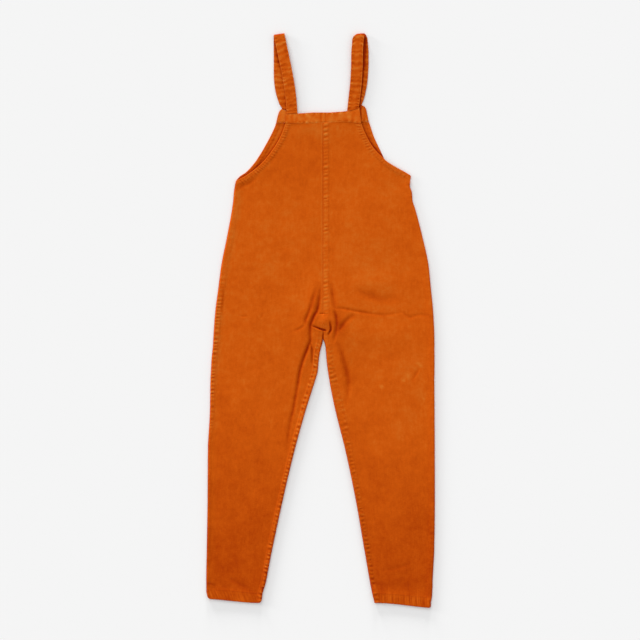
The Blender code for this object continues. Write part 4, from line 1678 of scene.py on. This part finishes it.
# ---- Node trees -----------------------------------------------------------------------
@dataclass(frozen=True)
class Graph:
    """A tree of nodes, each added with its settings, values and links in one call."""

    tree: bpy.types.NodeTree

    def fill(self, node: bpy.types.Node, inputs: dict[str | int, Any]) -> bpy.types.Node:
        """Set a node's inputs to values, or link them from sockets.

        Args:
            node: the node.
            inputs: a value or a socket for each input's name or number.

        Returns:
            The node.
        """
        for name, value in inputs.items():
            if isinstance(value, bpy.types.NodeSocket):
                self.tree.links.new(value, node.inputs[name])
            else:
                node.inputs[name].default_value = value
        return node

    def add(self, kind: str, inputs: dict[str | int, Any] | None = None,
            **settings: Any) -> bpy.types.Node:
        """Add a node with its settings and inputs.

        Args:
            kind: the node's type.
            inputs: a value or a socket for each input.
            settings: its other properties.

        Returns:
            The node.
        """
        node = self.tree.nodes.new(kind)
        for name, value in settings.items():
            setattr(node, name, value)
        return self.fill(node, inputs or {})

    def calc(self, operation: str, *values: bpy.types.NodeSocket | float) -> bpy.types.NodeSocket:
        """Add a sum over values and sockets, and give its result."""
        return self.add("ShaderNodeMath", dict(enumerate(values)), operation=operation).outputs[0]

    def place(self) -> bpy.types.NodeSocket:
        """Give places on the object itself."""
        return self.add("ShaderNodeTexCoord").outputs["Object"]

    def shader(self, inputs: dict[str, Any]) -> None:
        """Set or link the inputs of a material's surface shader."""
        self.fill(self.tree.nodes["Principled BSDF"], inputs)


def new_material(name: str) -> tuple[bpy.types.Material, Graph]:
    """Start a material, with the graph of its nodes.

    Args:
        name: the material's name.

    Returns:
        The material and its graph.
    """
    material = bpy.data.materials.new(name)
    material.use_nodes = True
    return material, Graph(material.node_tree)


# ---- Sewing ---------------------------------------------------------------------------
@dataclass(frozen=True)
class Sewing:
    """Rows of stitches, one small bead of thread after another."""

    name: str
    seed: int
    pitch: float = 3.0
    length: float = 2.3
    thread: float = 0.5
    lift: float = 0.6
    uneven: float = 0.12
    segments: int = 6
    rings: int = 4

    def tree(self) -> tuple[bpy.types.NodeTree, dict[str, str]]:
        """Make the node tree that lays stitches along edges.

        Returns:
            The tree, and its inputs' identifiers by name.
        """
        tree = bpy.data.node_groups.new(f"{self.name}_rows", "GeometryNodeTree")
        make, names = tree.interface.new_socket, {}
        for label, kind in (("Geometry", "Geometry"), ("Pitch", "Float"), ("Length", "Float"),
                            ("Thread", "Float"), ("Uneven", "Float"), ("Seed", "Int"),
                            ("Material", "Material")):
            socket = make(label, in_out="INPUT", socket_type=f"NodeSocket{kind}")
            names[label] = socket.identifier
        make("Geometry", in_out="OUTPUT", socket_type="NodeSocketGeometry")
        graph = Graph(tree)
        start = graph.add("NodeGroupInput").outputs
        curve = graph.add("GeometryNodeMeshToCurve", {"Mesh": start["Geometry"]})
        spaced = graph.add("GeometryNodeResampleCurve", {
            "Curve": curve.outputs["Curve"], "Length": start["Pitch"]}, mode="LENGTH")
        bead = graph.add("GeometryNodeMeshUVSphere", {
            "Segments": self.segments, "Rings": self.rings, "Radius": 0.5})
        tangent = graph.add("GeometryNodeInputTangent").outputs["Tangent"]
        aim = graph.add("FunctionNodeAlignRotationToVector", {"Vector": tangent}, axis="X")
        chance = graph.add("FunctionNodeRandomValue", {
            2: graph.calc("SUBTRACT", 1.0, start["Uneven"]),
            3: graph.calc("ADD", 1.0, start["Uneven"]), "Seed": start["Seed"]})
        length = graph.calc("MULTIPLY", chance.outputs[1], start["Length"])
        size = graph.add("ShaderNodeCombineXYZ", {
            "X": length, "Y": start["Thread"], "Z": start["Thread"]})
        laid = graph.add("GeometryNodeInstanceOnPoints", {
            "Points": spaced.outputs["Curve"], "Instance": bead.outputs["Mesh"],
            "Rotation": aim.outputs["Rotation"], "Scale": size.outputs["Vector"]})
        real = graph.add("GeometryNodeRealizeInstances", {"Geometry": laid.outputs["Instances"]})
        soft = graph.add("GeometryNodeSetShadeSmooth", {"Geometry": real.outputs["Geometry"]})
        dyed = graph.add("GeometryNodeSetMaterial", {
            "Geometry": soft.outputs["Geometry"], "Material": start["Material"]})
        graph.add("NodeGroupOutput", {"Geometry": dyed.outputs["Geometry"]})
        return tree, names

    def build(self, lines: list[Array], material: bpy.types.Material) -> bpy.types.Object:
        """Sew along lines.

        Args:
            lines: rows of points in millimetres, one array for each row of stitches.
            material: the thread's finish.

        Returns:
            The stitches as one mesh.
        """
        points = np.concatenate(lines) * MM
        points[:, 2] = np.maximum(points[:, 2], self.lift * self.thread * MM)
        edges, first = [], 0
        for line in lines:
            numbers = np.arange(first, first + len(line))
            edges.append(stacked(numbers[:-1], numbers[1:]))
            first += len(line)
        mesh = bpy.data.meshes.new(f"{self.name}_lines")
        mesh.from_pydata(points.tolist(), np.concatenate(edges).tolist(), [])
        rows = show(f"{self.name}_lines", mesh)
        tree, sockets = self.tree()
        sewing = rows.modifiers.new("sewing", "NODES")
        sewing.node_group = tree
        for label, value in (("Pitch", self.pitch * MM), ("Length", self.length * MM),
                             ("Thread", self.thread * MM), ("Uneven", self.uneven),
                             ("Seed", self.seed), ("Material", material)):
            sewing[sockets[label]] = value
        done = rows.evaluated_get(bpy.context.evaluated_depsgraph_get())
        stitches = show(self.name, bpy.data.meshes.new_from_object(done))
        stitches.data.name = self.name
        bpy.data.objects.remove(rows)
        return stitches


# ---- Finishes -------------------------------------------------------------------------
class Dye(NamedTuple):
    """A colour of the dye at a place on the scale from dark to light, in 8-bit sRGB."""

    place: float
    red: float
    green: float
    blue: float

    @property
    def linear(self) -> tuple[float, float, float, float]:
        """The colour in linear light."""
        parts = [c / 255 for c in (self.red, self.green, self.blue)]
        return *(c / 12.92 if c < 0.04045 else ((c + 0.055) / 1.055) ** 2.4 for c in parts), 1.0


class Mottle(NamedTuple):
    """Unevenness of the dye: its cells to the metre on each axis, its detail and its gain."""

    cells: tuple[float, float, float]
    detail: float
    gain: float


@dataclass(frozen=True)
class CordFinish:
    """Matt garment-dyed needlecord with its wales, coloured by tone: fading, painted shade and
    light.
    """

    name: str
    dyes: tuple[Dye, ...] = named(Dye, (
        (0, 152, 38, 0), (0.25, 181, 67.5, 2), (0.5, 205, 87.5, 9), (0.75, 212, 112, 33),
        (1, 220, 140, 66),
    ))
    tone_gain: float = 0.5
    cloud: Mottle = Mottle((19.0, 13.0, 19.0), 3.0, 0.12)
    fleck: Mottle = Mottle((120.0, 95.0, 120.0), 3.0, 0.14)
    streak: Mottle = Mottle((420.0, 24.0, 1.0), 3.0, 0.09)
    weft: Mottle = Mottle((150.0, 460.0, 1.0), 2.0, 0.1)
    weave: Mottle = Mottle((900.0, 500.0, 1.0), 2.0, 0.1)
    wale: float = 1.7
    wale_depth: float = 0.16
    roughness: float = 0.88
    specular: float = 0.02
    grit: float = 0.6
    sheen: float = 0.16
    sheen_roughness: float = 0.5
    sheen_tint: tuple[float, float, float, float] = (1.0, 0.5, 0.2, 1.0)

    def material(self) -> bpy.types.Material:
        """Make the finish.

        Returns:
            The material of the cloth.
        """
        material, graph = new_material(self.name)

        def noise(source: bpy.types.NodeSocket, mottle: Mottle) -> bpy.types.NodeSocket:
            """Read noise of a mottle's size.

            Args:
                source: the coordinates.
                mottle: the size and detail of the noise.

            Returns:
                The noise, from 0 to 1.
            """
            mapping = graph.add("ShaderNodeMapping", {"Vector": source, "Scale": mottle.cells})
            return graph.add("ShaderNodeTexNoise", {
                "Vector": mapping.outputs["Vector"], "Scale": 1.0, "Detail": mottle.detail,
                "Roughness": self.grit}).outputs["Fac"]

        place, grain = graph.place(), graph.add("ShaderNodeUVMap", uv_map="grain").outputs["UV"]
        tone = graph.add("ShaderNodeAttribute", attribute_name="tone").outputs["Fac"]
        mottles = ((place, self.cloud), (place, self.fleck),
                   (grain, self.streak), (grain, self.weft))
        middle = 0.5 - sum(mottle.gain for _, mottle in mottles)
        shade = graph.calc("MULTIPLY_ADD", tone, self.tone_gain, middle)
        for source, mottle in mottles:
            swing = 2 * mottle.gain
            shade = graph.calc("MULTIPLY_ADD", noise(source, mottle), swing, shade)
        ramp = graph.add("ShaderNodeValToRGB", {"Fac": shade})
        scale = ramp.color_ramp.elements
        for element, dye in zip(scale, (self.dyes[0], self.dyes[-1])):
            element.position, element.color = dye.place, dye.linear
        for dye in self.dyes[1:-1]:
            scale.new(dye.place).color = dye.linear
        across = graph.add("ShaderNodeSeparateXYZ", {"Vector": grain}).outputs["X"]
        turn = graph.calc("MULTIPLY_ADD", across, 2 * math.pi / (self.wale * MM), 0.0)
        rows = graph.add("ShaderNodeBump", {
            "Distance": self.wale_depth * MM,
            "Height": graph.calc("MULTIPLY_ADD", graph.calc("SINE", turn), 0.5, 0.5)})
        weave = graph.add("ShaderNodeBump", {
            "Distance": self.weave.gain * MM, "Height": noise(grain, self.weave),
            "Normal": rows.outputs["Normal"]})
        graph.shader({
            "Base Color": ramp.outputs["Color"], "Normal": weave.outputs["Normal"],
            "Roughness": self.roughness, "Specular IOR Level": self.specular,
            "Sheen Weight": self.sheen, "Sheen Roughness": self.sheen_roughness,
            "Sheen Tint": self.sheen_tint})
        return material


@dataclass(frozen=True)
class ThreadFinish:
    """Polyester-cotton thread dyed with the cloth, darker towards the hems as the cloth is."""

    name: str = "sewing_thread"
    dark: Dye = Dye(0.0, 152.0, 54.0, 3.0)
    pale: Dye = Dye(1.0, 206.0, 97.0, 18.0)
    hem: float = -0.66
    thigh: float = -0.1
    height_gain: float = 0.6
    fleck_gain: float = 0.4
    fleck: float = 160.0
    roughness: float = 0.9
    specular: float = 0.06

    def material(self) -> bpy.types.Material:
        """Make the finish.

        Returns:
            The material of the thread.
        """
        material, graph = new_material(self.name)
        place = graph.place()
        fleck = graph.add("ShaderNodeTexNoise", {"Vector": place, "Scale": self.fleck})
        parts = graph.add("ShaderNodeSeparateXYZ", {"Vector": place})
        height = graph.add("ShaderNodeMapRange", {
            "Value": parts.outputs["Y"], "From Min": self.hem, "From Max": self.thigh,
            "To Max": self.height_gain})
        pale = graph.calc("MULTIPLY_ADD", fleck.outputs["Fac"], self.fleck_gain,
                          height.outputs["Result"])
        mix = graph.add("ShaderNodeMix", {
            "Factor": pale, "A": self.dark.linear, "B": self.pale.linear}, data_type="RGBA")
        graph.shader({"Base Color": mix.outputs["Result"], "Roughness": self.roughness,
                      "Specular IOR Level": self.specular})
        return material


# ---- Studio ---------------------------------------------------------------------------
@dataclass(frozen=True)
class Lamp:
    """A distant soft light; azimuth is counterclockwise from +X, spread is how wide it looks."""

    name: str
    azimuth: float
    elevation: float
    spread: float
    share: float

    def build(self) -> None:
        """Hang the light, so that it gives the floor its share of one unit of light."""
        data = bpy.data.lights.new(self.name, "SUN")
        data.angle = math.radians(self.spread)
        data.energy = self.share * math.pi / math.sin(math.radians(self.elevation))
        lamp = show(self.name, data)
        a, e = math.radians(self.azimuth), math.radians(self.elevation)
        lamp.location = (math.cos(a) * math.cos(e), math.sin(a) * math.cos(e), math.sin(e))
        lamp.rotation_euler = lamp.location.to_track_quat("Z", "Y").to_euler()


@dataclass(frozen=True)
class Studio:
    """A pale floor, an even sky with low lamps at the top and left, and a camera above."""

    lens: float = 110.0
    sensor: float = 36.0
    view: float = 1.632
    aim: tuple[float, float, float] = (-0.00153, 0.00204, 0.005)
    far: float = 100.0
    floor: float = 40.0
    paint: float = 0.913
    sky: float = 0.71
    lamps: tuple[Lamp, ...] = (
        Lamp("key", 122.0, 40.0, 40.0, 0.085),
        Lamp("rake_left", 112.0, 6.5, 9.0, 0.073),
        Lamp("rake_right", 88.0, 6.5, 9.0, 0.072),
        Lamp("side", 158.0, 9.5, 12.0, 0.06),
    )

    def build(self) -> None:
        """Set up the floor, the light and the camera."""
        scene = bpy.context.scene
        scene.view_settings.view_transform = "Standard"
        half = self.floor / 2
        mesh = bpy.data.meshes.new("floor")
        corners = [(-half, -half, 0.0), (half, -half, 0.0), (half, half, 0.0), (-half, half, 0.0)]
        mesh.from_pydata(corners, [], [(0, 1, 2, 3)])
        ground = show("floor", mesh)
        paint, graph = new_material("pale_floor")
        graph.shader({"Base Color": (self.paint, self.paint, self.paint, 1.0), "Roughness": 1.0,
                      "Specular IOR Level": 0.0})
        mesh.materials.append(paint)
        world = bpy.data.worlds.new("studio")
        world.use_nodes = True
        Graph(world.node_tree).fill(world.node_tree.nodes["Background"], {
            "Color": (1.0, 1.0, 1.0, 1.0), "Strength": self.sky})
        scene.world = world
        for lamp in self.lamps:
            lamp.build()
        data = bpy.data.cameras.new("camera")
        data.lens, data.sensor_width, data.clip_end = self.lens, self.sensor, self.far
        camera = show("camera", data)
        x, y, z = self.aim
        camera.location = (x, y, z + self.view * self.lens / self.sensor)
        scene.camera = camera


# ---- The garment ----------------------------------------------------------------------
LEFT_STRAP = Strap(
    side=Side.LEFT, width=28.0, fold_x=-105.6, flat=(0.028, 0.404),
    upper=named(Run, (
        (529.4, -72.6, 4.9), (566.9, -75.6, 5.2), (599.3, -79.8, 5.8), (637, -86.4, 6.5),
        (674.5, -94.2, 6.9), (728, -105.2, 7),
    )),
    lower=named(Run, (
        (541.4, -84.8, 1.5), (568.7, -95.9, 1.5), (594.2, -102.5, 1.5), (625.5, -105.4, 1.5),
        (671.4, -105.5, 1.5), (728, -105.8, 1.5),
    )),
    shades=named(Shade, (
        (541, 0.2, 2.4), (600, 0, 2), (634, 0.05, 3), (652, 0.5, 6), (690, 0.6, 6), (716, 0.4, 4),
        (726, 0, 1),
    )),
    corners=(Corner(1.2, 1.2), Corner(1.2, 1.2)), drop=1.8,
)
RIGHT_STRAP = Strap(
    side=Side.RIGHT, width=30.0, fold_x=101.0, flat=(0.030, 0.392),
    upper=named(Run, (
        (536, 82.5, 4.9), (574.5, 86.9, 5.6), (607.9, 90.4, 6.6), (650.5, 92.6, 7.8),
        (681.6, 93, 8.3), (728, 95.5, 8.4),
    )),
    lower=named(Run, (
        (549, 90.3, 1.5), (585.7, 100.1, 1.5), (616.3, 105.2, 1.5), (657.4, 107.5, 1.5),
        (684.7, 107.5, 1.5), (728, 104.5, 1.5),
    )),
    shades=named(Shade, (
        (541, 1, 3), (600, 1.1, 3), (640, 1.1, 5), (662, 1.3, 7.6), (715, 1.4, 8.4), (728, 0.4, 4),
    )),
    corners=(Corner(10.0, 11.5), Corner(7.0, 10.0)), drop=2.0, fold_top=733.6,
)


@dataclass(frozen=True)
class Overalls:
    """The whole garment: panels, bands, straps and their sewing."""

    panels: tuple[Panel, ...] = (
        Panel(Side.LEFT, Layer.FRONT, (0.290, 1.226), 0.262),
        Panel(Side.RIGHT, Layer.FRONT, (0.290, 1.226), 0.272),
        Panel(Side.LEFT, Layer.BACK, (0.290, 1.226), 0.262),
        Panel(Side.RIGHT, Layer.BACK, (0.290, 1.226), 0.272),
    )
    bands: tuple[Band, ...] = (
        Band(Layer.FRONT, (0.236, 0.027)),
        Band(Layer.BACK, (0.194, 0.028)),
    )
    straps: tuple[Strap, ...] = (LEFT_STRAP, RIGHT_STRAP)
    cord: CordFinish = CordFinish("needlecord")
    trim: CordFinish = CordFinish("needlecord_trim")
    thread: ThreadFinish = ThreadFinish()

    def dress(self, piece: bpy.types.Object, node: str,
              finish: bpy.types.Material) -> None:
        """Put a piece in the place of its solid, in its finish.

        Args:
            piece: the cloth.
            node: the solid that it replaces.
            finish: its material.
        """
        piece.data.materials.clear()
        piece.data.materials.append(finish)
        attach(piece, "root")
        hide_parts(node)
        log.info("%s replaces %s with %d faces", piece.name, node, len(piece.data.polygons))

    def build(self) -> None:
        """Make, dress and sew all pieces."""
        weaver = Weaver()
        cord, trim, thread = self.cord.material(), self.trim.material(), self.thread.material()
        for panel in self.panels:
            self.dress(panel.build(weaver), panel.name, cord)
        for part in self.bands + self.straps:
            self.dress(part.build(weaver), part.name, trim)
        groups = {
            "back_sewing": [p for p in self.panels if p.layer is Layer.BACK] + [self.bands[1]],
            "front_sewing": [p for p in self.panels if p.layer is Layer.FRONT] + [self.bands[0]],
            "strap_sewing": list(self.straps),
        }
        for seed, (name, parts) in enumerate(groups.items(), 5):
            lines = [line for part in parts for line in part.stitch_rows()]
            stitches = Sewing(name, seed).build(lines, thread)
            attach(stitches, "root")
            log.info("%s has %d rows and %d faces", name, len(lines), len(stitches.data.polygons))


def main() -> None:
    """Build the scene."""
    logging.basicConfig(level=logging.INFO, format="%(name)s: %(message)s")
    Studio().build()
    Overalls().build()


if __name__ == "__main__":
    main()
